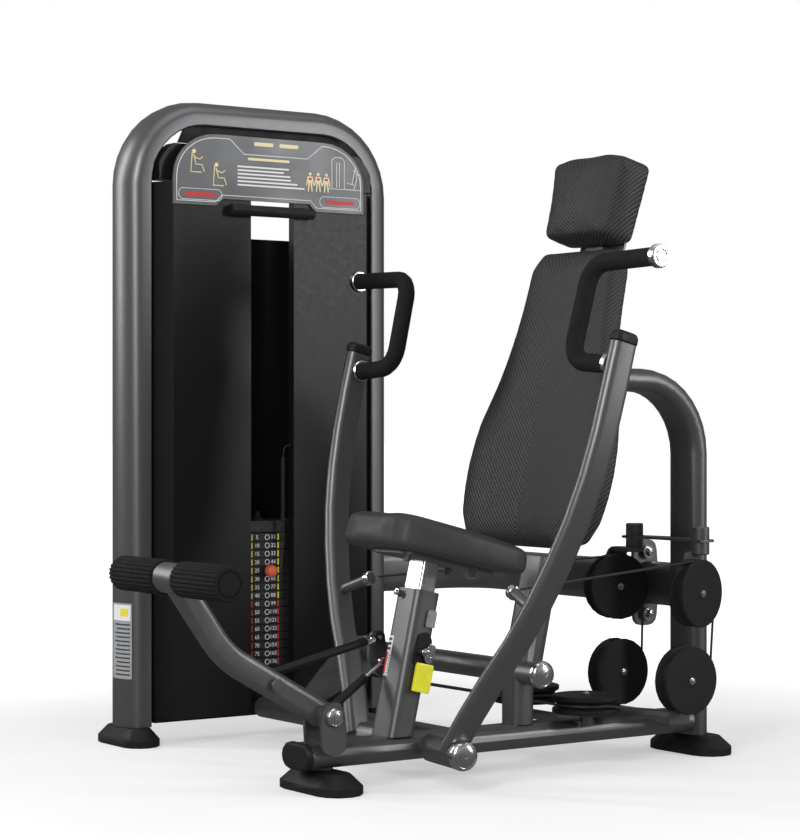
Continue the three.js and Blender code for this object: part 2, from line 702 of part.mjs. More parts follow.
for (const [word, side] of [['near', -1], ['far', 1]]) {
  add(`arm_${word}`, 'frame_paint', armWeldment(side));
  add(`arm_cap_${word}`, 'black_plastic', armCap(side));
  add(`grip_${word}`, 'rubber_grip', gripSleeve(side));
  add(`grip_end_${word}`, 'chrome', endCollar(side));
}

// ---------- seat ----------

const SEAT_POST_X = -590;   // middle of the post where it meets the base tube
const SLEEVE_LENGTH = 304;
const SLEEVE_DEEP = 62;
const SLEEVE_WIDE = 80;
const POST_DEEP = 42;
const POST_WIDE = 62;
const SIDE_Y = -SLEEVE_WIDE / 2;

function onPost(along, back = 0, y = 0) {
  return V(SEAT_POST_X, y, BASE_TOP).addScaledVector(LEAN, along).addScaledVector(LEAN_BACK, back);
}

// A leaning prism whose foot is cut level just above the base tube.
function leaningPrism(profile, low, high) {
  const level = profile.map(([y, back]) => {
    const start = onPost(0, back, y);
    return start.addScaledVector(LEAN, (low - start.z) / LEAN_Z);
  });
  return loft([level, profile.map(([y, back]) => onPost(high, back, y))]);
}

function seatSleeve() {
  const outer = leaningPrism(roundedRectangle(SLEEVE_WIDE, SLEEVE_DEEP, 16, 4), BASE_TOP + GAP,
    SLEEVE_LENGTH);
  const inner = leaningPrism(roundedRectangle(POST_WIDE + 1, POST_DEEP + 1, 9, 4), BASE_TOP - 20,
    SLEEVE_LENGTH + 20);
  const strap = loft([-2, 3].map((lift) => softened([[2, 230], [24, 230], [24, 268], [2, 268]], 8, 2)
    .map(([back, along]) => onPost(along, back, SIDE_Y - lift))));
  const bolt = rod(onPost(291, -28, 20), onPost(291, -41, 20), 7, 12, 2);
  const knob = rod(onPost(250, 28, -8), onPost(250, 46, -8), 9, 16, 2);
  const stub = rod(V(-560, 36, 222), V(-560, 79, 222), 6, 14);
  return cutBy(joined(outer, strap, bolt, knob, stub), inner);
}
add('seat_sleeve', 'frame_paint', seatSleeve());

const SEAT_RISE = 366;      // along the post to the seat plate's underside
function seatPost() {
  const ring = (along) => roundedRectangle(POST_WIDE, POST_DEEP, 8, 4)
    .map(([y, back]) => onPost(along, back, y));
  return loft([ring(110), ring(SEAT_RISE - GAP)]);
}
add('seat_post', 'chrome', seatPost());

const PLATE_THICK = 7;
function seatPlate() {
  const outline = softened([[-95, -75], [150, -60], [150, 60], [-95, 75]], 30, 3);
  const wing = outline.map(([back, y]) => onPost(SEAT_RISE, back, y));
  const lifted = outline.map(([back, y]) => onPost(SEAT_RISE + PLATE_THICK, back, y));
  const bolts = [[-78, -48], [95, -44], [95, 44]].map(([back, y]) => rod(onPost(SEAT_RISE + 2, back, y),
    onPost(SEAT_RISE - 13, back, y), 8, 6, 1));
  return joined(loft([wing, lifted]), ...bolts);
}
add('seat_plate', 'frame_paint', seatPlate());

const SEAT_OUTLINE = [[-158, -108], [-60, -146], [60, -168], [160, -168], [160, 168], [60, 168],
  [-60, 146], [-158, 108]];
const SEAT_THICK = 70;
const REAR_DROP = 0.24;     // share of the thickness lost at the rear edge
function seatPad() {
  const base = SEAT_RISE + PLATE_THICK + GAP;
  const full = softened(SEAT_OUTLINE, 52, 3);
  const layers = [[0.95, 0], [0.99, 5], [1, 14], [1, 54], [0.985, 62], [0.95, 67], [0.86, SEAT_THICK]];
  const taper = (back) => 1 - REAR_DROP * (back + 158) / 318;
  const loops = layers.map(([share, lift]) => full
    .map(([back, y]) => onPost(base + lift * taper(back), back * share, y * share)));
  return loft(loops, null, LEAN.clone().multiplyScalar(5));
}
add('seat_pad', 'upholstery', seatPad());

const LEVER_ALONG = 178;    // height of the adjuster's pivot along the post

// Seat adjuster: a bracket on the sleeve's near side with a pivoting lever and its yellow handle.
function adjusterBracket() {
  const outline = softened([[-14, 150], [22, 150], [26, 205], [10, 222], [-10, 214]], 8, 2);
  const low = outline.map(([back, along]) => onPost(along, back, SIDE_Y - GAP));
  const high = outline.map(([back, along]) => onPost(along, back, SIDE_Y - 5));
  const pivot = rod(onPost(LEVER_ALONG, -2, SIDE_Y - 3), onPost(LEVER_ALONG, -2, SIDE_Y - 27), 8, 16, 2);
  return joined(loft([low, high]), pivot);
}
add('adjuster_bracket', 'black_plastic', adjusterBracket());
function adjusterLever() {
  const outline = softened([[8, 160], [28, 157], [30, 178], [32, 196], [14, 198], [8, 178]], 6, 2);
  const low = outline.map(([back, along]) => onPost(along, back, SIDE_Y - 7));
  const high = outline.map(([back, along]) => onPost(along, back, SIDE_Y - 13));
  return loft([low, high]);
}
add('adjuster_lever', 'chrome', adjusterLever());
function adjusterHandle() {
  const ring = (along, shrink) => roundedRectangle(12 - shrink, 42 - shrink, 4, 3)
    .map(([y, back]) => onPost(along, back + 12, SIDE_Y - 12 + y));
  return loft([ring(96, 3), ring(99, 0), ring(151, 0), ring(155.4, 3)]);
}
add('adjuster_handle', 'yellow_vinyl', adjusterHandle());

// ---------- back rest ----------

const BACK_LEAN = 14.7 * DEG;
const BACK_UP = V(Math.sin(BACK_LEAN), 0, Math.cos(BACK_LEAN));
const BACK_REAR = V(Math.cos(BACK_LEAN), 0, -Math.sin(BACK_LEAN));
const BACK_AT = V(-114.7, 0, 1098);   // a point on the front plane of the back pad
function onBack(up, y, behind) {
  return V(BACK_AT.x, y, BACK_AT.z).addScaledVector(BACK_UP, up).addScaledVector(BACK_REAR, behind);
}
// Half widths of the back pad, by distance above its lower edge.
const BACK_HALF = [[0, 142], [22, 204], [95, 228], [165, 233], [258, 222], [350, 188], [440, 164],
  [520, 151], [610, 143], [655, 137], [665, 112]];
const BACK_LOW = -634;
const BACK_THICK = 56;

function sideLoop(rows, share) {
  const right = rows.map(([up, half]) => [up, -half]);
  const left = rows.map(([up, half]) => [up, half]).reverse();
  const middle = rows[rows.length - 1][0] / 2;
  return [...right, ...left].map(([up, y]) => [middle + (up - middle) * share, y * share]);
}

function smoothRows(rows, count) {
  const curve = new THREE.CatmullRomCurve3(rows.map(([up, half]) => V(up, half, 0)));
  return curve.getSpacedPoints(count).map((p) => [p.x, p.y]);
}

function backPad() {
  const rows = smoothRows(BACK_HALF, 14);
  const layers = [[0.94, 0], [0.975, 4], [0.995, 11], [1, 20], [1, 40], [0.985, 50], [0.95, BACK_THICK]];
  const loops = layers.map(([share, behind]) => sideLoop(rows, share)
    .map(([up, y]) => onBack(BACK_LOW + up, y, behind)));
  return loft(loops, BACK_REAR.clone().multiplyScalar(-5));
}
add('back_pad', 'upholstery', backPad());

const BACK_PLATE = BACK_THICK + GAP;
function slab(outline, behind, thickness) {
  return loft([behind, behind + thickness].map((depth) => outline.map(([up, y]) => onBack(up, y, depth))));
}
function backFrame() {
  const spine = slab(softened([[-590, -70], [-590, 70], [-40, 70], [-40, -70]], 25, 3), BACK_PLATE, 5);
  const clamp = slab(softened([[-310, -62], [-310, 62], [-222, 62], [-222, -62]], 15, 3),
    BACK_PLATE + 3, 9);
  const block = slab(softened([[-65, -30], [-65, 30], [48, 30], [48, -30]], 6, 2), BACK_PLATE, 26);
  const neck = slab(softened([[20, -75], [20, 75], [200, 75], [200, -75]], 12, 2), BACK_PLATE + 20.5, 6);
  const boss = sweep(obround(86, 40, 3), [V(-114, 0, ARCH_TOP), V(ARCH_END - GAP, 0, ARCH_TOP)], Y_AXIS);
  return joined(spine, clamp, block, neck, boss);
}
add('back_frame', 'frame_paint', backFrame());

function headPad() {
  const outline = softened([[-4, -104], [-4, 104], [172, 120], [183, 60], [183, -60], [172, -120]], 13, 4);
  const layers = [[0.95, 0], [0.985, 4], [1, 11], [1, 77], [0.985, 84], [0.94, 88]];
  const middle = 82;
  const loops = layers.map(([share, behind]) => outline.map(([up, y]) => V(-104, y * share, 1154)
    .addScaledVector(BACK_UP, middle + (up - middle) * share)
    .addScaledVector(BACK_REAR, behind - 8)));
  return loft(loops, BACK_REAR.clone().multiplyScalar(-7));
}
add('head_pad', 'upholstery', headPad());

// ---------- pulleys and cables ----------

const PULLEY_RADIUS = 75;
const PULLEY_HALF = 18;
const GROOVE_RADIUS = 66;
const CABLE_RADIUS = 3;
const AXLE_RADIUS = 7;
const GROOVE_RADIUS_RUN = GROOVE_RADIUS + CABLE_RADIUS + 1;

function pulley(centre, direction) {
  const r = PULLEY_RADIUS;
  const h = PULLEY_HALF;
  const profile = [[AXLE_RADIUS + GAP, -h], [r, -h], [r, -10], [GROOVE_RADIUS, -4.5],
    [GROOVE_RADIUS, 4.5], [r, 10], [r, h], [AXLE_RADIUS + GAP, h]];
  return place(turned(profile, 22), centre, direction);
}
function axle(centre, direction, reach) {
  const profile = [[0, -PULLEY_HALF - 3], [9, -PULLEY_HALF - 3], [9, -PULLEY_HALF - GAP],
    [AXLE_RADIUS, -PULLEY_HALF - GAP], [AXLE_RADIUS, reach], [0, reach]];
  return place(turned(profile, 16), centre, direction);
}

const UPPER_PULLEY = V(128, 134, 370);
const LOWER_PULLEY = V(117, 115, 178);
const SWIVEL_YAW = 12 * DEG;
const SWIVEL_X = 163;
const SWIVEL_Y = 111;
const STRAP_Z = 480;

// The fork that hangs an upper pulley, with its axle and the upright pin it swivels on.
// Both forks stand on the tower's side of their pulley.
function swivelFork(side, upper, inward, ahead) {
  const towards = side < 0 ? inward : inward.clone().negate();
  const start = upper.clone().addScaledVector(towards, PULLEY_HALF + 9);
  const hang = softened([[-24, -26], [24, -26], [38, 40], [40, 90], [-6, 90], [-24, 40]], 14, 3);
  const top = UPPER_PULLEY.z + 90;
  const pin = rod(V(SWIVEL_X, side * SWIVEL_Y, top - 8), V(SWIVEL_X, side * SWIVEL_Y, 514), 20, 16, 2);
  const pieces = [plate(hang, start, ahead, Z_AXIS, 6), axle(upper, towards, PULLEY_HALF + 6), pin];
  if (side > 0) {
    const bridge = [[0, -PULLEY_HALF - 9], [40, -PULLEY_HALF - 9], [46, 44], [6, 44]];
    const above = upper.clone();
    above.z = top - 0.5;
    pieces.push(plate(bridge, above, ahead, inward, 10));
  }
  return joined(...pieces);
}

for (const [word, side] of [['near', -1], ['far', 1]]) {
  const upper = V(UPPER_PULLEY.x, side * UPPER_PULLEY.y, UPPER_PULLEY.z);
  const inward = V(-Math.sin(SWIVEL_YAW), -side * Math.cos(SWIVEL_YAW), 0);
  const ahead = V(Math.cos(SWIVEL_YAW), -side * Math.sin(SWIVEL_YAW), 0);
  add(`upper_pulley_${word}`, 'black_plastic', pulley(upper, inward));
  add(`swivel_fork_${word}`, 'frame_paint', swivelFork(side, upper, inward, ahead));
  const lower = V(LOWER_PULLEY.x, side * LOWER_PULLEY.y, LOWER_PULLEY.z);
  add(`lower_pulley_${word}`, 'black_plastic', pulley(lower, V(0, -side, 0)));
}

// The lower pulleys' uprights stand on the tower's side too.
function lowerStands() {
  return [-1, 1].flatMap((side) => {
    const lower = V(LOWER_PULLEY.x, side * LOWER_PULLEY.y, LOWER_PULLEY.z);
    const face = lower.y + PULLEY_HALF + 3;
    const outline = softened([[-26, -92], [26, -92], [18, 22], [-18, 22]], 12, 2);
    const upright = plate(outline, V(lower.x, face + 6, lower.z), X_AXIS, Z_AXIS, 6);
    const reach = side < 0 ? [face, -10] : [10, face + 6];
    const shelf = box(V(lower.x - 30, reach[0], 80), V(lower.x + 30, reach[1], 96));
    return [upright, shelf, axle(lower, Y_AXIS, PULLEY_HALF + 6)];
  });
}

function swivelStrap() {
  const outline = softened([[140, -136], [186, -136], [206, -50], [206, 50], [186, 136], [140, 136],
    [152, 50], [152, -50]], 12, 2);
  const strap = cutPlate(outline, [], V(0, 0, STRAP_Z), X_AXIS, Y_AXIS, 6);
  const holes = [-1, 1].map((side) => rod(V(SWIVEL_X, side * SWIVEL_Y, STRAP_Z - 5),
    V(SWIVEL_X, side * SWIVEL_Y, STRAP_Z + 12), 20 + 2 * GAP, 24, 0.1));
  return cutBy(strap, ...holes);
}

const FLAT_PULLEYS = { near: V(-109, -46, 136), far: V(-95, 184, 136) };
for (const [word, centre] of Object.entries(FLAT_PULLEYS)) {
  add(`flat_pulley_${word}`, 'black_plastic', pulley(centre, Z_AXIS));
}

function flatPulleyPosts() {
  return Object.values(FLAT_PULLEYS).flatMap((centre) => {
    const low = V(centre.x - 22, Math.min(0, centre.y), 84);
    const shelf = box(low, V(centre.x + 22, Math.max(0, centre.y) + 22, 98));
    const post = rod(V(centre.x, centre.y, 90), V(centre.x, centre.y, centre.z + PULLEY_HALF + 1),
      AXLE_RADIUS, 16);
    const collar = rod(V(centre.x, centre.y, 90), V(centre.x, centre.y, centre.z - PULLEY_HALF - GAP),
      14, 16);
    return [shelf, post, collar];
  });
}

// A cable runs from an arm over its upper pulley, down its lower one and round a flat pulley to the tower.
function arc(centre, first, second, from, to, steps = 6) {
  return Array.from({ length: steps + 1 }, (_, i) => {
    const angle = (from + (to - from) * (i / steps)) * DEG;
    return centre.clone().addScaledVector(first, GROOVE_RADIUS_RUN * Math.cos(angle))
      .addScaledVector(second, GROOVE_RADIUS_RUN * Math.sin(angle));
  });
}

const CABLE_END_Y = SHROUD_FRONT - GAP;
function cable(side, flat) {
  const upper = V(UPPER_PULLEY.x, side * UPPER_PULLEY.y, UPPER_PULLEY.z);
  const ahead = V(Math.cos(SWIVEL_YAW), side * -Math.sin(SWIVEL_YAW), 0);
  const lower = V(LOWER_PULLEY.x, side * LOWER_PULLEY.y, LOWER_PULLEY.z);
  const path = [V(-455, side * 247.5, 408), ...arc(upper, ahead, Z_AXIS, 97, 0),
    ...arc(lower, X_AXIS, Z_AXIS, 0, -90), ...arc(flat, X_AXIS, Y_AXIS, -90, -180),
    V(flat.x - GROOVE_RADIUS_RUN, CABLE_END_Y, flat.z)];
  return sweep(circle(CABLE_RADIUS, 5), path);
}
add('cable_near', 'cable_black', cable(-1, FLAT_PULLEYS.near));
add('cable_far', 'cable_black', cable(1, FLAT_PULLEYS.far));

// ---------- foot-assist lever ----------

const LEVER_Y = -28;
const LEVER_PIVOT = V(-775, LEVER_Y, 155);
const LEVER_KNEE = V(-1009, LEVER_Y, 288);
const LEVER_HEAD = V(-1120, LEVER_Y, 445);
const LINK_PIN = V(-900, LEVER_Y, 226);
const LINK_Y = 57;          // the link runs past the seat post's far side
const EAR_GAP = 27;
const AXLE_REACH = 198;

const DAMPER_Y = 45;
const DAMPER_LOW = V(-713, DAMPER_Y, 158);
const DAMPER_HIGH = V(-583, DAMPER_Y, 247);
const DAMPER_PIN = 4;

function leverBracket() {
  const outline = softened([[-26, 80], [30, 80], [30, 130], [22, 182], [-22, 182], [-30, 150]], 20, 3);
  const ears = [-1, 1].map((side) => cutPlate(outline, [],
    V(LEVER_PIVOT.x, LEVER_Y + side * EAR_GAP + (side > 0 ? 8 : 0), 0), X_AXIS, Z_AXIS, 8));
  const pin = rod(V(LEVER_PIVOT.x, LEVER_Y - EAR_GAP - 12, LEVER_PIVOT.z),
    V(LEVER_PIVOT.x, LEVER_Y + EAR_GAP + 12, LEVER_PIVOT.z), 10, 16);
  const cap = dome(V(LEVER_PIVOT.x, LEVER_Y - EAR_GAP - 7, LEVER_PIVOT.z), V(0, -1, 0), 19, 10);
  const lug = cutPlate(softened([[42, 90], [86, 90], [75, 172], [49, 172]], 10, 2), [],
    V(LEVER_PIVOT.x, DAMPER_Y - 9.6, 0), X_AXIS, Z_AXIS, 12);
  const lugPin = rod(V(DAMPER_LOW.x, DAMPER_Y - 12, DAMPER_LOW.z),
    V(DAMPER_LOW.x, DAMPER_Y + 8, DAMPER_LOW.z), DAMPER_PIN, 12);
  return joined(...ears, pin, cap, lug, lugPin);
}

// A round bar that crosses the lever from side to side, given by its y ends from the lever's middle.
function crossBar(centre, from, to, radius, sides, chamfer = 0.8) {
  return rod(V(centre.x, LEVER_Y + from, centre.z), V(centre.x, LEVER_Y + to, centre.z), radius, sides,
    chamfer);
}

function footLever() {
  const path = bentPath([LEVER_HEAD, LEVER_KNEE, LEVER_PIVOT], 190, 6);
  const tube = sweep(obround(30, 56, 3), path, Y_AXIS);
  const hub = crossBar(LEVER_PIVOT, GAP - EAR_GAP, EAR_GAP - GAP, 27, 20, 2);
  const bore = crossBar(LEVER_PIVOT, -60, 60, 10 + GAP, 20, 0.1);
  const head = crossBar(LEVER_HEAD, -37, 37, 30, 24, 2);
  const axleBar = crossBar(LEVER_HEAD, -AXLE_REACH, AXLE_REACH, 12, 16);
  const plug = crossBar(LINK_PIN, -21, 0, 12, 20, 2);
  const pin = crossBar(LINK_PIN, 0, LINK_Y + 8 - LEVER_Y, 7, 16);
  return cutBy(joined(tube, hub, head, axleBar, plug, pin), bore);
}
add('foot_lever', 'frame_paint', footLever());

const ROLLER_RADIUS = 35;
function footRoller(side) {
  const start = LEVER_Y + side * (37 + GAP);
  const length = 170;
  const well = length - 8;
  const profile = [[0, well], [12 + GAP, well], [12 + GAP, 0], [33, 0], [ROLLER_RADIUS, 3],
    [ROLLER_RADIUS, well], [31, length - 2], [24, length], [0, length]];
  return place(turned(profile, 20), V(LEVER_HEAD.x, start, LEVER_HEAD.z), V(0, side, 0));
}
add('foot_roller_near', 'rubber_grip', footRoller(-1));
add('foot_roller_far', 'rubber_grip', footRoller(1));

const ROCKER_PIVOT = V(-560, LINK_Y, 222);
const ROCKER_TOP = V(-585, LINK_Y, 297);
const ROCKER_EYE = 6.8;     // the link's upper eye is bored loose on its 5 mm pin
function eye(centre, inner, outer, half) {
  return sleeve(V(centre.x, centre.y - half, centre.z), V(centre.x, centre.y + half, centre.z), inner,
    outer, 20);
}

function linkBore(centre, radius) {
  return rod(V(centre.x, LINK_Y - 20, centre.z), V(centre.x, LINK_Y + 20, centre.z), radius, 16, 0.1);
}

function linkRod() {
  const low = LINK_PIN.clone().setY(LINK_Y);
  const along = ROCKER_TOP.clone().sub(low).normalize();
  const shaft = rod(low.clone().addScaledVector(along, 9),
    ROCKER_TOP.clone().addScaledVector(along, -9), 9, 16);
  const bar = joined(shaft, eye(low, 6, 14, 6), eye(ROCKER_TOP, 4, 13, 6));
  return cutBy(bar, linkBore(low, 7 + GAP), linkBore(ROCKER_TOP, ROCKER_EYE));
}
add('link_rod', 'black_plastic', linkRod());

// The rocker turns on a stub that is welded to the seat sleeve's far side.
function rocker() {
  const outline = softened([[-13, -12], [13, -12], [-4, 88], [-36, 88], [-44, 22]], 14, 3);
  const blade = cutPlate(outline, [], V(ROCKER_PIVOT.x, LINK_Y + 18, ROCKER_PIVOT.z), X_AXIS, Z_AXIS, 8);
  const across = (centre, from, to, radius, sides, chamfer = 0.8) => rod(V(centre.x, from, centre.z),
    V(centre.x, to, centre.z), radius, sides, chamfer);
  const topPin = across(ROCKER_TOP, LINK_Y - 8, LINK_Y + 13, 5, 14);
  const damperPin = across(DAMPER_HIGH, LINK_Y + 14, DAMPER_Y - 4.4, DAMPER_PIN, 12);
  const bore = across(ROCKER_PIVOT, LINK_Y - 20, LINK_Y + 40, 6 + GAP, 16, 0.1);
  return cutBy(joined(blade, topPin, damperPin), bore);
}
add('rocker', 'frame_paint', rocker());

// The gas damper steadies the linkage: its cylinder is pinned to the base, its rod to the rocker.
const damperRun = DAMPER_HIGH.clone().sub(DAMPER_LOW).normalize();
const damperAt = (distance) => DAMPER_LOW.clone().addScaledVector(damperRun, distance);
const DAMPER_MOUTH = 105;
const DAMPER_ROD = 4;
const DAMPER_EYE = 9;

function damperBore(centre) {
  return rod(V(centre.x, centre.y - 20, centre.z), V(centre.x, centre.y + 20, centre.z),
    DAMPER_PIN + 1.3, 14, 0.1);
}

function damperCylinder() {
  const tube = rod(damperAt(6), damperAt(DAMPER_MOUTH), 9, 16);
  const well = rod(damperAt(50), damperAt(DAMPER_MOUTH + 10), DAMPER_ROD + GAP, 12, 0.1);
  return cutBy(joined(tube, eye(DAMPER_LOW, DAMPER_PIN, DAMPER_EYE, 4.5)), damperBore(DAMPER_LOW), well);
}
add('damper_cylinder', 'black_plastic', damperCylinder());

function damperRod() {
  const tip = DAMPER_HIGH.distanceTo(DAMPER_LOW);
  const shaft = rod(damperAt(70), damperAt(tip - 6), DAMPER_ROD, 12);
  return cutBy(joined(shaft, eye(DAMPER_HIGH, DAMPER_PIN, DAMPER_EYE, 4)), damperBore(DAMPER_HIGH));
}
add('damper_rod', 'chrome', damperRod());

add('base_tube', 'frame_paint', baseTube());
add('rear_arch', 'frame_paint', rearArch());

export default group;
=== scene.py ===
import json
from math import cos, pi, radians, sin

import bmesh
import bpy
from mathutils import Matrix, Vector


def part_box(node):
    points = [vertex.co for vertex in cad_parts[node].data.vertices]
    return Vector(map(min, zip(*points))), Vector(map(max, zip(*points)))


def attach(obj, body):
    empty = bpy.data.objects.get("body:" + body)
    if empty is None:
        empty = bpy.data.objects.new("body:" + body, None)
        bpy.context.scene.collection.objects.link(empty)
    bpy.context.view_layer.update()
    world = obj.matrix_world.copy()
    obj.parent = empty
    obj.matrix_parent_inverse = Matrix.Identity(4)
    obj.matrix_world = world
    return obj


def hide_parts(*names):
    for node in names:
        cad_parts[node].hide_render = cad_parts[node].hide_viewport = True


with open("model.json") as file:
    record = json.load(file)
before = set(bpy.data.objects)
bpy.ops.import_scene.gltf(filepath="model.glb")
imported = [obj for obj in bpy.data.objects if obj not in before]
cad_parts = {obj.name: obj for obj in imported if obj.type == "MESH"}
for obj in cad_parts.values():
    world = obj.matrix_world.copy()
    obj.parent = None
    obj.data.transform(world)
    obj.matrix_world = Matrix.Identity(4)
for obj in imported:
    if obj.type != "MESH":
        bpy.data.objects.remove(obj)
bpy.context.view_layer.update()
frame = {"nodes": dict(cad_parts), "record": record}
NODES = frame["nodes"]

# The machine is laid out in mm from its own centreline; the row frame is in metres from its middle.
CENTRELINE = 200.8          # mm, from the machine's centreline to the row frame's middle
LAYOUT_SHIFT = Vector((435.0, -CENTRELINE, 0.0))
TOWER_X = -420
SIGN_X = TOWER_X - 8
POST_LEAN = radians(13)
BACK_LEAN = radians(14.7)
ARM_YAW = radians(9.4)
SWIVEL_YAW = radians(12)
UP = Vector((sin(POST_LEAN), 0, cos(POST_LEAN)))
BEHIND = Vector((cos(POST_LEAN), 0, -sin(POST_LEAN)))
BACK_UP = Vector((sin(BACK_LEAN), 0, cos(BACK_LEAN)))
BACK_REAR = Vector((cos(BACK_LEAN), 0, -sin(BACK_LEAN)))
ACROSS = Vector((0, 1, 0))
X = Vector((1, 0, 0))
Z = Vector((0, 0, 1))
SIDES = {"near": -1, "far": 1}
MIDDLE_OFFSET = CENTRELINE / 1000
# Places in the layout's mm.
UPPER_PULLEY = (128, 134, 370)
LOWER_PULLEY = (117, 115, 178)
FLAT_PULLEYS = {"near": (-109, -46, 136), "far": (-95, 184, 136)}
LEVER_Y = -28
LEVER_HEAD = (-1120, 445)
LINK_Y = 57
LINK_PIN = (-900, 226)
ROCKER_TOP = (-585, 297)
ARM_FOOT = (-562, 80)
ARM_SLOPE = 0.2448          # how far an arm leans back for each mm of height
POST_FOOT = (-590, 99)
SIGN_FRONT = 734.5
LABEL_FRONT = 765 - 0.15    # the weight plates' front
# Measures in metres.
PULLEY_RADIUS = 0.075
PULLEY_HALF = 0.018
ROLLER_RADIUS = 0.035
ROLLER_LENGTH = 0.170
LABEL_THICK = 0.0003
VOXEL = 0.0065              # the pads' mesh size
SWELL = 0.0045              # the most a pad's cover moves outwards
CLOTH_FRAMES = 20
PAD_PRESSURE = 3.0
WELD = 0.00002              # vertices closer than this are one


def at(x, y, z):
    return (Vector((x, y, z)) + LAYOUT_SHIFT) / 1000


def on_side(place, side):
    """A place given for the far side, mirrored when the side is the near one."""
    return at(place[0], side * place[1], place[2])


# ---------- camera, light and floor ----------


def add_camera():
    data = bpy.data.cameras.new("camera")
    data.lens = 100.3
    data.sensor_width = 36
    camera = bpy.data.objects.new("camera", data)
    camera.location = at(-3350, -3970, 750)
    camera.rotation_euler = (radians(90), 0, radians(-35))
    bpy.context.scene.collection.objects.link(camera)
    bpy.context.scene.camera = camera


def area_light(name, place, target, size, power):
    data = bpy.data.lights.new(name, "AREA")
    data.shape = "RECTANGLE"
    data.size, data.size_y = size
    data.energy = power
    light = bpy.data.objects.new(name, data)
    light.location = place
    light.rotation_euler = (Vector(target) - Vector(place)).to_track_quat("-Z", "Y").to_euler()
    bpy.context.scene.collection.objects.link(light)


def add_world():
    """White behind the machine; what lights it and mirrors in it is darker near the horizon."""
    world = bpy.data.worlds.new("studio")
    world.use_nodes = True
    nodes = world.node_tree.nodes
    links = world.node_tree.links
    backdrop = nodes["Background"]
    backdrop.inputs["Color"].default_value = (1, 1, 1, 1)
    backdrop.inputs["Strength"].default_value = 1.0
    room = nodes.new("ShaderNodeBackground")
    room.inputs["Strength"].default_value = 1.0
    height = nodes.new("ShaderNodeSeparateXYZ")
    links.new(nodes.new("ShaderNodeTexCoord").outputs["Generated"], height.inputs["Vector"])
    tones = nodes.new("ShaderNodeValToRGB")
    stops = tones.color_ramp.elements
    stops[0].position, stops[0].color = 0.0, (0.1, 0.1, 0.103, 1)
    stops[1].position, stops[1].color = 0.9, (0.34, 0.34, 0.34, 1)
    middle = stops.new(0.35)
    middle.color = (0.24, 0.24, 0.24, 1)
    links.new(height.outputs["Z"], tones.inputs["Fac"])
    links.new(tones.outputs["Color"], room.inputs["Color"])
    choose = nodes.new("ShaderNodeMixShader")
    links.new(nodes.new("ShaderNodeLightPath").outputs["Is Camera Ray"], choose.inputs["Fac"])
    links.new(room.outputs["Background"], choose.inputs[1])
    links.new(backdrop.outputs["Background"], choose.inputs[2])
    links.new(choose.outputs["Shader"], nodes["World Output"].inputs["Surface"])
    bpy.context.scene.world = world


def add_studio():
    scene = bpy.context.scene
    scene.view_settings.view_transform = "Standard"
    add_world()
    area_light("key", (-3.4, -2.4, 2.6), (0, 0, 0.7), (1.0, 2.6), 105)
    area_light("side", (2.6, -3.2, 2.0), (0.2, 0, 0.7), (0.5, 2.6), 60)
    area_light("rim", (-2.4, 2.6, 2.2), (0, 0, 0.8), (0.6, 2.4), 50)
    area_light("top", (0.2, -0.4, 4.2), (0, 0, 0.4), (3.0, 2.0), 22)

    mesh = bpy.data.meshes.new("floor")
    reach = 60
    mesh.from_pydata([(-reach, -reach, 0), (reach, -reach, 0), (reach, reach, 0), (-reach, reach, 0)],
                     [], [(0, 1, 2, 3)])
    floor = bpy.data.objects.new("floor", mesh)
    scene.collection.objects.link(floor)
    mesh.materials.append(floor_paint())
    floor.visible_glossy = False


def floor_paint():
    """Pale under the machine, where its shadows fall; it glows less there, a painted shade round the machine,
    and glows to plain white further out.
    """
    paint = new_material("floor_paint", (0.6, 0.6, 0.6), roughness=0.7)
    shader = shader_of(paint)
    reach = add_node(paint, "ShaderNodeVectorMath", operation="LENGTH")
    link(paint, position(paint), reach.inputs[0])
    # Painted shade: the floor's glow is weakest near the machine and rises to full white further out.
    spread = add_node(paint, "ShaderNodeMapRange", interpolation_type="SMOOTHSTEP")
    spread.inputs["From Min"].default_value = 0.9
    spread.inputs["From Max"].default_value = 3.2
    spread.inputs["To Min"].default_value = 0.44
    spread.inputs["To Max"].default_value = 1.0
    link(paint, reach.outputs["Value"], spread.inputs["Value"])
    link(paint, spread.outputs["Result"], shader.inputs["Emission Strength"])
    shader.inputs["Emission Color"].default_value = (1, 1, 1, 1)
    speckle(paint, (0.59, 0.59, 0.59), (0.61, 0.61, 0.61), 3.0)
    return paint


# ---------- materials ----------


def new_material(name, color, metallic=0.0, roughness=0.5, **sockets):
    material = bpy.data.materials.new(name)
    material.use_nodes = True
    shader = material.node_tree.nodes["Principled BSDF"]
    shader.inputs["Base Color"].default_value = (*color, 1)
    shader.inputs["Metallic"].default_value = metallic
    shader.inputs["Roughness"].default_value = roughness
    for socket, value in sockets.items():
        shader.inputs[socket.replace("_", " ")].default_value = value
    return material


def add_node(material, kind, **settings):
    node = material.node_tree.nodes.new(kind)
    for key, value in settings.items():
        setattr(node, key, value)
    return node


def link(material, source, target):
    material.node_tree.links.new(source, target)


def shader_of(material):
    return material.node_tree.nodes["Principled BSDF"]


def position(material):
    return add_node(material, "ShaderNodeTexCoord").outputs["Object"]


def noise(material, scale, detail=3.0):
    texture = add_node(material, "ShaderNodeTexNoise")
    texture.inputs["Scale"].default_value = scale
    texture.inputs["Detail"].default_value = detail
    link(material, position(material), texture.inputs["Vector"])
    return texture.outputs["Fac"]


def ramp(material, fac, low, high, start=0.35, end=0.65):
    colors = add_node(material, "ShaderNodeValToRGB")
    colors.color_ramp.elements[0].position = start
    colors.color_ramp.elements[1].position = end
    colors.color_ramp.elements[0].color = (*low, 1)
    colors.color_ramp.elements[1].color = (*high, 1)
    link(material, fac, colors.inputs["Fac"])
    return colors.outputs["Color"]


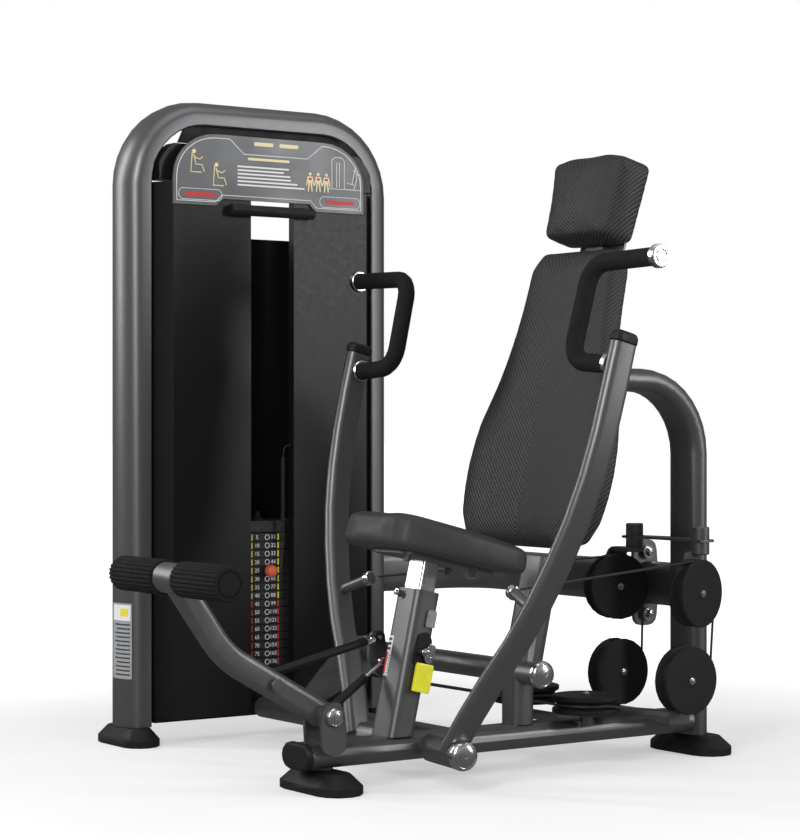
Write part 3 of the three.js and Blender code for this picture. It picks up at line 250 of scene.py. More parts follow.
def speckle(material, low, high, scale, detail=3.0):
    """The base colour wanders between two tones."""
    color = ramp(material, noise(material, scale, detail), low, high)
    link(material, color, shader_of(material).inputs["Base Color"])


def uneven_gloss(material, low, high, scale):
    """The roughness wanders, as on a handled or sprayed surface."""
    spread = add_node(material, "ShaderNodeMapRange")
    spread.inputs["From Min"].default_value = 0.3
    spread.inputs["From Max"].default_value = 0.7
    spread.inputs["To Min"].default_value = low
    spread.inputs["To Max"].default_value = high
    link(material, noise(material, scale), spread.inputs["Value"])
    link(material, spread.outputs["Result"], shader_of(material).inputs["Roughness"])


def relief(material, height, strength, distance):
    bump = add_node(material, "ShaderNodeBump")
    bump.inputs["Strength"].default_value = strength
    bump.inputs["Distance"].default_value = distance
    link(material, height, bump.inputs["Height"])
    link(material, bump.outputs["Normal"], shader_of(material).inputs["Normal"])


def maths(material, operation, a, b=None, c=None):
    node = add_node(material, "ShaderNodeMath", operation=operation)
    for slot, value in enumerate((a, b, c)):
        if value is None:
            continue
        if isinstance(value, (int, float)):
            node.inputs[slot].default_value = value
        else:
            link(material, value, node.inputs[slot])
    return node.outputs[0]


def along(material, axis):
    """Distance of a surface point along an axis, in metres."""
    dot = add_node(material, "ShaderNodeVectorMath", operation="DOT_PRODUCT")
    link(material, position(material), dot.inputs[0])
    dot.inputs[1].default_value = axis
    return dot.outputs["Value"]


def frame_paint():
    """Dark metallic powder coat: a fine flake under a satin film."""
    paint = new_material("frame_paint", (0.16, 0.162, 0.166), 0.8, 0.4)
    color = ramp(paint, noise(paint, 1800, 1.0), (0.14, 0.142, 0.146), (0.17, 0.172, 0.176))
    link(paint, color, shader_of(paint).inputs["Base Color"])
    uneven_gloss(paint, 0.38, 0.42, 150)
    relief(paint, noise(paint, 700, 1.0), 0.02, 0.00005)
    return paint


def chrome():
    metal = new_material("chrome", (0.8, 0.81, 0.82), 1.0, 0.2)
    uneven_gloss(metal, 0.17, 0.23, 120)
    return metal


def black_plastic():
    plastic = new_material("black_plastic", (0.014, 0.014, 0.015), 0.0, 0.55, Specular_IOR_Level=0.3)
    speckle(plastic, (0.007, 0.007, 0.0075), (0.011, 0.011, 0.0115), 400)
    uneven_gloss(plastic, 0.46, 0.62, 30)
    relief(plastic, noise(plastic, 1400, 2.0), 0.25, 0.0004)
    return plastic


def shroud_black():
    sheet = new_material("shroud_black", (0.006, 0.006, 0.0065), 0.0, 0.36, Specular_IOR_Level=0.3)
    speckle(sheet, (0.0056, 0.0056, 0.006), (0.0072, 0.0072, 0.0076), 300)
    uneven_gloss(sheet, 0.33, 0.39, 80)
    relief(sheet, noise(sheet, 700, 2.0), 0.06, 0.0003)
    return sheet


def rubber_grip():
    rubber = new_material("rubber_grip", (0.007, 0.007, 0.007), 0.0, 0.75, Specular_IOR_Level=0.2)
    speckle(rubber, (0.006, 0.006, 0.006), (0.009, 0.009, 0.009), 700)
    uneven_gloss(rubber, 0.7, 0.88, 50)
    relief(rubber, noise(rubber, 1700, 3.0), 0.3, 0.0003)
    return rubber


def plate_black():
    iron = new_material("plate_black", (0.016, 0.016, 0.017), 0.35, 0.45)
    speckle(iron, (0.012, 0.012, 0.013), (0.024, 0.024, 0.025), 120)
    uneven_gloss(iron, 0.36, 0.56, 40)
    relief(iron, noise(iron, 800, 3.0), 0.3, 0.0005)
    return iron


def sign_grey():
    print_paint = new_material("sign_grey", (0.085, 0.088, 0.092), 0.3, 0.35)
    speckle(print_paint, (0.08, 0.083, 0.087), (0.092, 0.095, 0.1), 600)
    uneven_gloss(print_paint, 0.3, 0.4, 12)
    return print_paint


def yellow_vinyl():
    vinyl = new_material("yellow_vinyl", (0.72, 0.68, 0.01), 0.0, 0.42, Coat_Weight=0.2)
    speckle(vinyl, (0.68, 0.64, 0.008), (0.76, 0.72, 0.014), 60)
    relief(vinyl, noise(vinyl, 350, 2.0), 0.15, 0.0004)
    return vinyl


def knob_orange():
    knob = new_material("knob_orange", (0.52, 0.09, 0.03), 0.0, 0.45, Coat_Weight=0.2)
    speckle(knob, (0.48, 0.08, 0.025), (0.56, 0.1, 0.035), 200)
    relief(knob, noise(knob, 900, 2.0), 0.12, 0.0003)
    return knob


def cable_black():
    """Sheathed wire rope: the strands show through as a fine diagonal ripple."""
    cable = new_material("cable_black", (0.02, 0.02, 0.021), 0.0, 0.4)
    speckle(cable, (0.015, 0.015, 0.016), (0.027, 0.027, 0.028), 500)
    ripple = add_node(cable, "ShaderNodeTexWave", bands_direction="DIAGONAL")
    ripple.inputs["Scale"].default_value = 160
    link(cable, position(cable), ripple.inputs["Vector"])
    relief(cable, ripple.outputs["Fac"], 0.3, 0.0006)
    return cable


def bare_steel():
    """Zinc-plated sheet, greyer and duller than the chrome."""
    metal = new_material("bare_steel", (0.42, 0.43, 0.44), 0.9, 0.38)
    speckle(metal, (0.38, 0.39, 0.4), (0.46, 0.47, 0.48), 250)
    uneven_gloss(metal, 0.3, 0.46, 80)
    relief(metal, noise(metal, 900, 2.0), 0.08, 0.0003)
    return metal


def ink(name, color):
    """Printed or stuck-on colour."""
    print_ink = new_material(name, color, 0.0, 0.5)
    shade = tuple(0.9 * part for part in color)
    speckle(print_ink, shade, color, 500)
    return print_ink


def twill(name, upward, behind, strength=1.0, pitch=0.0112):
    """Embossed vinyl: diagonal ribs, mirrored about the middle of the machine and on past the sides; each
    groove is coloured darker as painted shade.
    """
    ridge = 0.032
    painted_groove_shade = ridge - 0.021 * strength
    vinyl = new_material(name, (0.025, 0.025, 0.026), 0.0, 0.5, Specular_IOR_Level=0.35)
    reach = maths(vinyl, "ABSOLUTE", maths(vinyl, "ADD", along(vinyl, ACROSS), MIDDLE_OFFSET))
    slant = maths(vinyl, "SUBTRACT", along(vinyl, upward), reach)
    slant = maths(vinyl, "SUBTRACT", slant, along(vinyl, behind))
    rib = maths(vinyl, "SINE", maths(vinyl, "MULTIPLY", slant, 2 * pi / pitch))
    rib = maths(vinyl, "MULTIPLY_ADD", rib, 0.5, 0.5)
    # Painted shade: the base colour darkens from each rib's crest into its groove.
    color = ramp(vinyl, rib, (painted_groove_shade, painted_groove_shade, painted_groove_shade), (ridge, ridge, ridge), 0.08, 0.75)
    link(vinyl, color, shader_of(vinyl).inputs["Base Color"])
    uneven_gloss(vinyl, 0.44, 0.56, 200)
    grain = maths(vinyl, "MULTIPLY_ADD", noise(vinyl, 900, 3.0), 0.25, rib)
    relief(vinyl, grain, 0.7 * strength, 0.0011)
    return vinyl


# ---------- mesh helpers ----------


def new_piece(name, mesh, material, body):
    piece = bpy.data.objects.new(name, mesh)
    bpy.context.scene.collection.objects.link(piece)
    mesh.materials.append(material)
    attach(piece, body)
    return piece


def smooth_by_angle(mesh, angle=32):
    for face in mesh.polygons:
        face.use_smooth = True
    mesh.set_sharp_from_angle(angle=radians(angle))


def axes_round(direction):
    direction = direction.normalized()
    start = Z if abs(direction.z) < 0.9 else X
    first = (start - direction * start.dot(direction)).normalized()
    return first, direction.cross(first)


def turned_mesh(name, profile, centre, direction, sides=48, flutes=None):
    """A turned mesh from [radius, height] pairs; flutes = (count, depth) scallops its side."""
    direction = direction.normalized()
    first, second = axes_round(direction)
    mesh = bpy.data.meshes.new(name)
    points, faces = [], []
    for radius, height in profile:
        for step in range(sides):
            angle = step / sides * 2 * pi
            reach = radius
            if flutes and radius > 0:
                reach -= flutes[1] * (0.5 - 0.5 * cos(angle * flutes[0])) ** 3
            points.append(centre + direction * height + (first * cos(angle) + second * sin(angle)) * reach)
    for ring in range(len(profile) - 1):
        for step in range(sides):
            a = ring * sides + step
            b = ring * sides + (step + 1) % sides
            faces.append((a, b, b + sides, a + sides))
    mesh.from_pydata(points, [], faces)
    bm = bmesh.new()
    bm.from_mesh(mesh)
    bmesh.ops.remove_doubles(bm, verts=bm.verts, dist=1e-6)
    bmesh.ops.recalc_face_normals(bm, faces=bm.faces)
    bm.to_mesh(mesh)
    bm.free()
    smooth_by_angle(mesh)
    return mesh


def cap_profile(radius, height):
    """A domed cap with a shallow ring round its centre disc."""
    rise = [(0.0, 0.0), (1.0, 0.0), (1.0, 0.3), (0.96, 0.55), (0.88, 0.74), (0.78, 0.84), (0.74, 0.8),
            (0.7, 0.86), (0.4, 0.97), (0.14, 1.0), (0.12, 0.93), (0.0, 0.93)]
    return [(share * radius, lift * height) for share, lift in rise]


def bolt_profile(radius, height):
    """A washer with a button-head bolt on it."""
    return [(0, 0), (radius, 0), (radius, height * 0.25), (radius * 0.68, height * 0.25),
            (radius * 0.68, height * 0.6), (radius * 0.5, height * 0.92), (radius * 0.3, height),
            (radius * 0.24, height), (radius * 0.2, height * 0.6), (0, height * 0.6)]


def disc_piece(name, profile, centre, direction, material, body, slot, **settings):
    mesh = turned_mesh(name, profile, centre, direction, **settings)
    return new_piece(name, mesh, material, body)


def card(name, centre, right, up, width, height, thick, material, body, corner=0.0):
    """A thin flat label or printed patch, with its own thickness and rounded corners."""
    outline = []
    steps = 5 if corner else 0
    for sx, sy, turn in ((1, 1, 0), (-1, 1, 1), (-1, -1, 2), (1, -1, 3)):
        for step in range(steps + 1):
            angle = (turn + (step / steps if steps else 0)) * pi / 2
            outline.append((sx * (width / 2 - corner) + corner * cos(angle),
                            sy * (height / 2 - corner) + corner * sin(angle)))
    return shape_piece(name, outline, centre, right, up, thick, material, body)


def shape_piece(name, outline, centre, right, up, thick, material, body):
    """A thin plate from an outline in a plane; it grows towards right x up."""
    normal = right.cross(up).normalized()
    count = len(outline)
    points = [centre + right * a + up * b + normal * lift for lift in (0, thick) for a, b in outline]
    faces = [tuple(range(count))[::-1], tuple(range(count, 2 * count))]
    faces += [(i, (i + 1) % count, count + (i + 1) % count, count + i) for i in range(count)]
    mesh = bpy.data.meshes.new(name)
    mesh.from_pydata(points, [], faces)
    return new_piece(name, mesh, material, body)


def wrapped_strip(name, line, run, thick, material, body):
    """A thin label that follows a bent line of points and runs straight along run."""
    outer = []
    for index, point in enumerate(line):
        step = line[min(index + 1, len(line) - 1)] - line[max(index - 1, 0)]
        outer.append(point + step.cross(run).normalized() * thick)
    count = len(line)
    rows = [line, outer, [point + run for point in line], [point + run for point in outer]]
    points = [point for row in rows for point in row]
    faces = []
    for i in range(count - 1):
        faces.append((count + i, count + i + 1, 3 * count + i + 1, 3 * count + i))
        faces.append((i, 2 * count + i, 2 * count + i + 1, i + 1))
        faces.append((i, i + 1, count + i + 1, count + i))
        faces.append((2 * count + i, 3 * count + i, 3 * count + i + 1, 2 * count + i + 1))
    faces.append((0, count, 3 * count, 2 * count))
    last = count - 1
    faces.append((last, 2 * count + last, 3 * count + last, count + last))
    mesh = bpy.data.meshes.new(name)
    mesh.from_pydata(points, [], faces)
    smooth_by_angle(mesh)
    return new_piece(name, mesh, material, body)


def tube_piece(name, points, radius, material, body, closed=False, resolution=3):
    """A round tube along points in the row frame."""
    data = bpy.data.curves.new(name, "CURVE")
    data.dimensions = "3D"
    data.bevel_depth = radius
    data.bevel_resolution = resolution
    data.use_fill_caps = True
    spline = data.splines.new("POLY")
    spline.points.add(len(points) - 1)
    for point, place in zip(spline.points, points):
        point.co = (*place, 1)
    spline.use_cyclic_u = closed
    piece = bpy.data.objects.new(name, data)
    bpy.context.scene.collection.objects.link(piece)
    data.materials.append(material)
    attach(piece, body)
    return piece


# ---------- the CAD nodes' own finish ----------


def dress_nodes(finish):
    """Gives each CAD node the material of its slot, with softened edges and smooth round faces."""
    slots = {part["node"]: part["material_slot"] for part in frame["record"]["subparts"]}
    for name, node in NODES.items():
        node.data.materials.clear()
        node.data.materials.append(finish[slots[name]])
        for face in node.data.polygons:
            face.use_smooth = True
        weld = node.modifiers.new("weld", "WELD")
        weld.merge_threshold = WELD
        edge = node.modifiers.new("edge", "BEVEL")
        edge.width = 0.0007
        edge.segments = 2
        edge.limit_method = "ANGLE"
        edge.angle_limit = radians(40)
        edge.use_clamp_overlap = True
        normals = node.modifiers.new("normals", "WEIGHTED_NORMAL")
        normals.keep_sharp = True


def paint_faces(node_name, material, wanted):
    """Paints a second finish on the faces whose middle passes the test."""
    mesh = NODES[node_name].data
    mesh.materials.append(material)
    index = len(mesh.materials) - 1
    for face in mesh.polygons:
        if wanted(face.center):
            face.material_index = index


def paint_hanger(plastic):
    """The plate behind the sign is black, though it is welded to the arch."""
    front, back = at(0, 785, 0).y, at(0, 793, 0).y
    middle, half = at(TOWER_X, 0, 0).x, 0.235
    low, high = 1.39, 1.4375

    def wanted(point):
        return front < point.y < back and abs(point.x - middle) < half and low < point.z < high
    paint_faces("tower_arch", plastic, wanted)


def near_line(start, end, radius):
    """A test for points that lie within a radius of a line between two points."""
    run = end - start
    length = run.length
    run = run.normalized()

    def wanted(point):
        distance = (point - start).dot(run)
        off = (point - start) - run * distance
        return -0.0005 <= distance <= length + 0.0005 and off.length < radius
    return wanted


def arm_x(height):
    """Where an arm's middle stands, in mm, at a height."""
    return ARM_FOOT[0] + ARM_SLOPE * (height - ARM_FOOT[1])


def paint_chrome_details(metal):
    """The cable stub's end and the grip's lower collar are chrome, though they are welded to the arm."""
    for word, side in SIDES.items():
        stub_end = at(-474, side * 262, 402)
        arm_at = at(arm_x(372), side * 350, 372)
        run = (arm_at - stub_end).normalized()
        paint_faces(f"arm_{word}", metal, near_line(stub_end - run * 0.0135, stub_end + run * 0.0022, 0.0165))
        collar = at(arm_x(860), side * 446, 860)
        inward = Vector((0, -side, 0.06)).normalized()
        paint_faces(f"arm_{word}", metal, near_line(collar + inward * 0.002, collar + inward * 0.016, 0.0255))


# ---------- upholstery ----------


def pad(node_name, name, finish, body, behind):
    """The CAD pad, remeshed, rounded a little and blown up as a foam cushion is under its cover."""
    source = NODES[node_name]
    mesh = source.data.copy()
    mesh.name = name
    piece = bpy.data.objects.new(name, mesh)
    bpy.context.scene.collection.objects.link(piece)
    bpy.context.view_layer.objects.active = piece
    weld = piece.modifiers.new("weld", "WELD")
    weld.merge_threshold = WELD
    apply_all(piece)
    remesh = piece.modifiers.new("remesh", "REMESH")
    remesh.mode = "VOXEL"
    remesh.voxel_size = VOXEL
    rounding = piece.modifiers.new("rounding", "SMOOTH")
    rounding.factor = 0.5
    rounding.iterations = 4
    apply_all(piece)
    shape = [vertex.co.copy() for vertex in piece.data.vertices]
    blow_up(piece, shape, behind)
    subdivide = piece.modifiers.new("finer", "SUBSURF")
    subdivide.levels = 1
    subdivide.render_levels = 1
    apply_all(piece)
    for face in piece.data.polygons:
        face.use_smooth = True
    piece.data.materials.clear()
    piece.data.materials.append(finish)
    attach(piece, body)
    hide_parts(node_name)
    return piece


def apply_all(piece):
    """Applies the modifiers by taking the evaluated mesh."""
    graph = bpy.context.evaluated_depsgraph_get()
    made = bpy.data.meshes.new_from_object(piece.evaluated_get(graph))
    piece.modifiers.clear()
    piece.data = made


def blow_up(piece, shape, behind):
    """Cloth simulation with pressure. The face that rests on its plate is held."""
    depths = [place.dot(behind) for place in shape]
    back = max(depths)
    held = piece.vertex_groups.new(name="held")
    held.add([i for i, depth in enumerate(depths) if depth > back - 0.012], 1.0, "REPLACE")
    cloth = piece.modifiers.new("cloth", "CLOTH")
    cloth.settings.vertex_group_mass = "held"
    cloth.settings.use_pressure = True
    cloth.settings.uniform_pressure_force = PAD_PRESSURE
    cloth.settings.effector_weights.gravity = 0
    cloth.settings.tension_stiffness = 20
    cloth.settings.compression_stiffness = 20
    cloth.point_cache.frame_start = 1
    cloth.point_cache.frame_end = CLOTH_FRAMES
    for step in range(1, CLOTH_FRAMES + 1):
        bpy.context.scene.frame_set(step)
    apply_all(piece)
    bpy.context.scene.frame_set(1)
    moves = [vertex.co - start for vertex, start in zip(piece.data.vertices, shape)]
    moves = [move if move.length <= SWELL else move.normalized() * SWELL for move in moves]
    moves = evened(piece.data, moves)
    for vertex, start, move in zip(piece.data.vertices, shape, moves):
        vertex.co = start + move


def evened(mesh, moves, rounds=8):
    """Each vertex's move averaged with its neighbours', so the cover swells without wrinkling."""
    beside = [[index] for index in range(len(moves))]
    for edge in mesh.edges:
        first, second = edge.vertices
        beside[first].append(second)
        beside[second].append(first)
    for _ in range(rounds):
        moves = [sum((moves[i] for i in group), Vector()) / len(group) for group in beside]
    return moves


# ---------- turned and printed details ----------


def end_caps(metal):
    """Polished covers over the pivot ends."""
    for word, side in SIDES.items():
        inward = Vector((sin(ARM_YAW), -side * cos(ARM_YAW), 0))
        centre = at(-557.8, side * 200, 77) + inward * 0.001
        disc_piece(f"pivot_cap_{word}", cap_profile(0.0305, 0.0195), centre, -inward, metal, "frame",
                   "chrome", sides=64)
    disc_piece("cross_cap", cap_profile(0.0295, 0.0175), at(-265, -83, 211), -ACROSS, metal, "frame",
               "chrome", sides=64)
    disc_piece("lever_cap", cap_profile(0.0195, 0.0115), at(-775, -62, 155), -ACROSS, metal, "frame",
               "chrome", sides=64)


def grip_badges(metal):
    """A recessed disc closes each grip's polished end."""
    for word in SIDES:
        low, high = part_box(f"grip_end_{word}")
        middle = (low + high) / 2
        outward = -1 if word == "near" else 1
        face = Vector((middle.x, (low if outward < 0 else high).y - outward * 0.0038, middle.z))
        profile = [(0, 0), (0.0128, 0), (0.0128, 0.002), (0.0116, 0.0034), (0.004, 0.0038), (0, 0.0038)]
        disc_piece(f"grip_badge_{word}", profile, face, ACROSS * outward, metal, f"arm_{word}_body",
                   "chrome", sides=48)


def pulley_faces(plastic, metal):
    """Each pulley gets a stepped face and a bolt on both sides."""
    places = {}
    for word, side in SIDES.items():
        outward = Vector((sin(SWIVEL_YAW), side * cos(SWIVEL_YAW), 0))
        places[f"upper_pulley_{word}"] = (on_side(UPPER_PULLEY, side), -outward)
        places[f"lower_pulley_{word}"] = (on_side(LOWER_PULLEY, side), ACROSS * -side)
    for word, place in FLAT_PULLEYS.items():
        places[f"flat_pulley_{word}"] = (at(*place), Z)
    rim = PULLEY_RADIUS
    for name, (centre, outward) in places.items():
        for end, turn in (("a", 1), ("b", -1)):
            profile = [(rim - 0.0012, 0), (rim - 0.0012, 0.0004), (rim - 0.0024, 0.0012),
                       (0.016, 0.0014), (0.015, 0.0022), (0.0105, 0.0022), (0.0105, 0)]
            disc_piece(f"{name}_face_{end}", profile, centre + outward * turn * (PULLEY_HALF + 0.0001),
                       outward * turn, plastic, f"{name}_body", "black_plastic", sides=72)
            bolt = centre + outward * turn * (PULLEY_HALF + 0.003)
            disc_piece(f"{name}_bolt_{end}", bolt_profile(0.0086, 0.005), bolt, outward * turn, metal,
                       f"{name}_body", "chrome", sides=32)


def foot_rollers(rubber):
    """Foam rollers, fluted along their length and rounded at the outer end."""
    head_half = 37.3
    radius, length = ROLLER_RADIUS, ROLLER_LENGTH
    for word, side in SIDES.items():
        start = at(LEVER_HEAD[0], LEVER_Y + side * head_half, LEVER_HEAD[1])
        profile = [(0.0125, 0), (0.031, 0), (radius - 0.001, 0.0015), (radius, 0.004),
                   (radius, length - 0.006), (radius - 0.002, length - 0.0015),
                   (radius - 0.0055, length - 0.0004), (radius - 0.0085, length - 0.0004),
                   (radius - 0.0095, length - 0.0022), (radius - 0.011, length - 0.0022),
                   (radius - 0.0125, length), (0, length)]
        name = f"roller_{word}"
        piece = disc_piece(name, profile, start, ACROSS * side, rubber, f"roller_{word}_body",
                           "rubber_grip", sides=288, flutes=(24, 0.0024))
        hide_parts(f"foot_roller_{word}")


def lever_plug(paint):
    """The cover on the near end of the link's pin."""
    profile = [(0, 0), (0.0135, 0), (0.0135, 0.003), (0.0125, 0.0042), (0, 0.0046)]
    disc_piece("lever_plug", profile, at(LINK_PIN[0], LEVER_Y - 21, LINK_PIN[1]), -ACROSS, paint,
               "lever_body", "frame_paint")


def link_ends(metal):
    """Threaded chrome ends on the link rod."""
    low = at(LINK_PIN[0], LINK_Y, LINK_PIN[1])
    high = at(ROCKER_TOP[0], LINK_Y, ROCKER_TOP[1])
    run = (high - low).normalized()
    for name, start, turn in (("link_end_low", low, 1), ("link_end_high", high, -1)):
        profile = [(0.0093, 0.015), (0.0105, 0.015), (0.0105, 0.024), (0.0098, 0.025), (0.0118, 0.026),
                   (0.0118, 0.033), (0.0093, 0.034)]
        disc_piece(name, profile, start, run * turn, metal, "link_body", "chrome", sides=40)


def flange_bolts(metal):
    """Two bolts through the rear arch's flange, above and below its middle."""
    flange_x, flange_y, flange_z, spread = 237, 148.7, 373, 72
    for name, level in (("flange_bolt_high", spread), ("flange_bolt_low", -spread)):
        disc_piece(name, bolt_profile(0.0155, 0.013), at(flange_x, flange_y, flange_z + level), -ACROSS,
                   metal, "frame", "chrome", sides=40)


def stack_labels(white, yellow, red, black):
    """Each plate wears a dark strip with generic numbers and an end bar, and a selector hole."""
    pitch, bottom, count, pinned = 19.7, 166, 16, 11
    kg_per_plate, pounds_per_kg = 5, 2.2
    first_yellow = 8
    raised = ACROSS * 0.0004
    front = LABEL_FRONT
    for index in range(count):
        lifted = index >= pinned
        body = "stack_body" if lifted else "frame"
        middle = bottom + (index + 0.5) * pitch + (0.5 if lifted else 0)
        tone = yellow if index >= first_yellow else red
        place = at(TOWER_X - 6, front, middle)
        card(f"plate_strip_{index}", place, X, Z, 0.078, 0.0165, LABEL_THICK, black, body,
             0.001)
        for end, reach in (("left", -0.0365), ("right", 0.0365)):
            card(f"plate_bar_{index}_{end}", place + X * reach - raised, X, Z, 0.0035, 0.0145,
                 LABEL_THICK, tone, body)
        if index != pinned:
            disc_piece(f"plate_hole_{index}", [(0.0052, 0), (0.0052, 0.0009), (0.0062, 0.0012),
                       (0.0066, 0.0004), (0.0066, 0)], at(TOWER_X, front, middle), -ACROSS, white, body,
                       "plate_black", sides=24)
        weight = (count - index) * kg_per_plate
        for label, reach in ((str(weight), -0.022), (str(round(weight * pounds_per_kg)), 0.023)):
            number(f"plate_number_{index}_{'left' if reach < 0 else 'right'}", label,
                   place + X * reach - raised, 0.0135, white, body)


def number(name, text, centre, size, material, body):
    """A generic number, cut from a font and stood up to face the front."""
    data = bpy.data.curves.new(name, "FONT")
    data.body = text
    data.size = size
    data.align_x = "CENTER"
    data.align_y = "CENTER"
    data.extrude = 0.00015
    data.resolution_u = 2
    piece = bpy.data.objects.new(name, data)
    piece.location = centre
    piece.rotation_euler = (radians(90), 0, 0)
    bpy.context.scene.collection.objects.link(piece)
    data.materials.append(material)
    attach(piece, body)


def outline_loop(points, front):
    return [at(SIGN_X + a, front, b) for a, b in points]


def sign_border(inset):
    """The sign's edge, moved inwards, dipping round the title tab at the top."""
    low, half, shoulder = 1248 + inset, 264 - inset, (150, 1312)
    high = 1415 - inset
    right = []
    for step in range(9):
        angle = step / 8 * pi / 2
        right.append((shoulder[0] + (half - shoulder[0]) * cos(angle),
                      shoulder[1] + (high - shoulder[1]) * sin(angle)))
    left = [(-a, b) for a, b in reversed(right)]
    right += [(144, high), (102, high - 33)]
    left = [(-74, high - 33), (-113, high)] + left
    base = [(-half, low), (-152, low), (-134, low + 17), (110, low + 17), (128, low), (half, low)]
    return base + right + left


def pill_outline(reach, level, straight, radius):
    points = []
    for step in range(24):
        angle = step / 24 * 2 * pi
        side = straight if cos(angle) > 0 else -straight
        points.append((reach + side + radius * cos(angle), level + radius * sin(angle)))
    return points


def sign_art(white, red, cream):
    """Generic sign: a border, two figures, plain bars for text, a machine icon and two outlined pills."""
    front = SIGN_FRONT

    def bar(name, reach, level, width, tall, material, corner=0.001):
        card(name, at(SIGN_X + reach, front, level), X, Z, width / 1000, tall / 1000, LABEL_THICK,
             material, "frame", corner)

    def outline(name, points, radius):
        tube_piece(name, outline_loop(points, front), radius, white, "frame", closed=True,
                   resolution=1)

    outline("sign_border", sign_border(9), 0.0011)
    for index, (reach, level, width) in enumerate(((-20, 1399, 53), (50, 1399, 53), (-6, 1363, 116))):
        bar(f"sign_title_{index}", reach, level, width, 9 if index < 2 else 6, cream, 0.003)
    for row in range(6):
        width = (142, 128, 146, 148, 166, 186)[row]
        bar(f"sign_line_{row}", width / 2 - 92, 1344 - row * 8.6, width, 3.8, white)
    for index, reach in enumerate((-192, 195)):
        outline(f"sign_pill_{index}", pill_outline(reach, 1273, 45, 13), 0.0008)
        bar(f"sign_pill_bar_{index}", reach, 1273, 78, 9, red, 0.004)
    for index, (reach, level) in enumerate(((-200, 1350), (-140, 1322))):
        seated_figure(f"sign_figure_{index}", reach, level, front, cream)
    for index in range(3):
        body_icon(f"sign_icon_{index}", 110 + index * 23, 1318, front, cream, red)
    machine_icon(206, 1340, front, white)


def seated_figure(name, reach, level, front, material):
    """A seated person pushing a handle, in a few strokes."""
    strokes = [[(-10, 14), (-4, -8), (12, -8), (18, -24)], [(-8, 8), (6, 4), (14, 10)],
               [(-14, 20), (-18, -26), (10, -26)]]
    for index, stroke in enumerate(strokes):
        points = outline_loop([(reach + a, level + b) for a, b in stroke], front)
        tube_piece(f"{name}_{index}", points, 0.0016, material, "frame", resolution=1)
    disc_piece(f"{name}_head", [(0, 0), (0.005, 0), (0.005, 0.0006), (0, 0.0006)],
               at(SIGN_X + reach - 9, front + 0.3, level + 22), -ACROSS, material, "frame", "sign_grey",
               sides=24)


def body_icon(name, reach, level, front, light, accent):
    """A plain standing figure with one marked area."""
    outline = [(-4, -22), (-1, -2), (1, -2), (4, -22), (7, -22), (5, 4), (10, -8), (12, -7), (7, 14),
               (-7, 14), (-12, -7), (-10, -8), (-5, 4), (-7, -22)]
    outline = [(a / 1000, b / 1000) for a, b in outline]
    shape_piece(name, outline, at(SIGN_X + reach, front, level), X, Z, 0.0004, light, "frame")
    card(f"{name}_mark", at(SIGN_X + reach, front - 0.5, level + 8), X, Z, 0.009, 0.006, LABEL_THICK, accent,
         "frame", 0.002)
    disc_piece(f"{name}_head", [(0, 0), (0.004, 0), (0.004, 0.0006), (0, 0.0006)],
               at(SIGN_X + reach, front + 0.2, level + 20), -ACROSS, light, "frame", "sign_grey", sides=20)


def machine_icon(reach, level, front, material):
    """A small line drawing of the machine itself."""
    strokes = [[(-34, -34), (-34, 34), (-26, 42), (-6, 42), (2, 34), (2, -34)], [(-44, -34), (48, -34)],
               [(10, -18), (30, -22)], [(24, -20), (34, 22)], [(30, -32), (38, -8), (36, 10), (28, 14)],
               [(-20, -30), (-20, 30)], [(-12, -30), (-12, 30)], [(36, 4), (48, 4), (50, -34)]]
    for index, stroke in enumerate(strokes):
        points = outline_loop([(reach + a, level + b) for a, b in stroke], front)
        tube_piece(f"sign_machine_{index}", points, 0.0009, material, "frame", resolution=1)


def lanyard(finish):
    """The pin's curly lanyard: a straight lead, a close coil and a straight tail to the knob."""
    wire = 0.0011              # half the cord's thickness
    reach = 0.0042             # from the coil's axis to the cord's middle
    turns = 46
    per_turn = 14
    ease = 60                  # the coil opens and closes over 1/60 of its length
    top = at(TOWER_X + 34, 748.5, 664)
    bottom = at(TOWER_X + 33, 747.5, 444)
    points = [at(TOWER_X + 57, 750, 690), at(TOWER_X + 46, 750, 689), at(TOWER_X + 39, 750, 684),
              at(TOWER_X + 36, 749, 674)]
    total = turns * per_turn
    for step in range(total + 1):
        share = step / total
        angle = share * turns * 2 * pi
        grow = min(1.0, share * ease, (1 - share) * ease)
        centre = top.lerp(bottom, share)
        points.append(centre + Vector((cos(angle), sin(angle), 0)) * reach * grow)
    points += [at(TOWER_X + 32, 746.5, 430), at(TOWER_X + 29, 746, 412), at(TOWER_X + 24, 746, 399)]
    piece = tube_piece("lanyard_coil", points, wire, finish, "frame", resolution=2)
    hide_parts("lanyard")


# The tower's left leg: its place from the tower's middle, and its rounded section, in mm.
LEG_REACH = 335
LEG_SHIFT = -4
LEG_Y = 832
LEG_HALF_X = 34
LEG_HALF_Y = 59


def leg_line(start, end, lift, steps=10):
    """Points round the left leg's outer side, from one angle to another, in degrees."""
    points = []
    for step in range(steps + 1):
        angle = radians(start + (end - start) * step / steps)
        out = LEG_SHIFT + (LEG_HALF_X + lift) * cos(angle)
        points.append(at(TOWER_X - LEG_REACH - out, LEG_Y + (LEG_HALF_Y + lift) * sin(angle), 0))
    return points


def leg_notice(grey, white, yellow, dark):
    """The notice wrapped round the left leg's outer side: plain bars stand for its words."""
    low, high = 154, 328

    def strip(name, start, end, level, tall, lift, material):
        line = [point + Z * level / 1000 for point in leg_line(end, start, lift)]
        wrapped_strip(name, line, Z * tall / 1000, 0.0002, material, "frame")

    strip("notice_plate", -52, 24, low, high - low, 0.2, grey)
    strip("notice_head", -48, 18, high - 40, 36, 0.45, white)
    strip("notice_mark", -40, -14, high - 30, 18, 0.7, yellow)
    for row in range(13):
        reach = (-12, -20, -14, -28)[row % 4]
        strip(f"notice_line_{row}", -46, 14 + reach / 2, low + 8 + row * 9.6, 3.4, 0.45, dark)


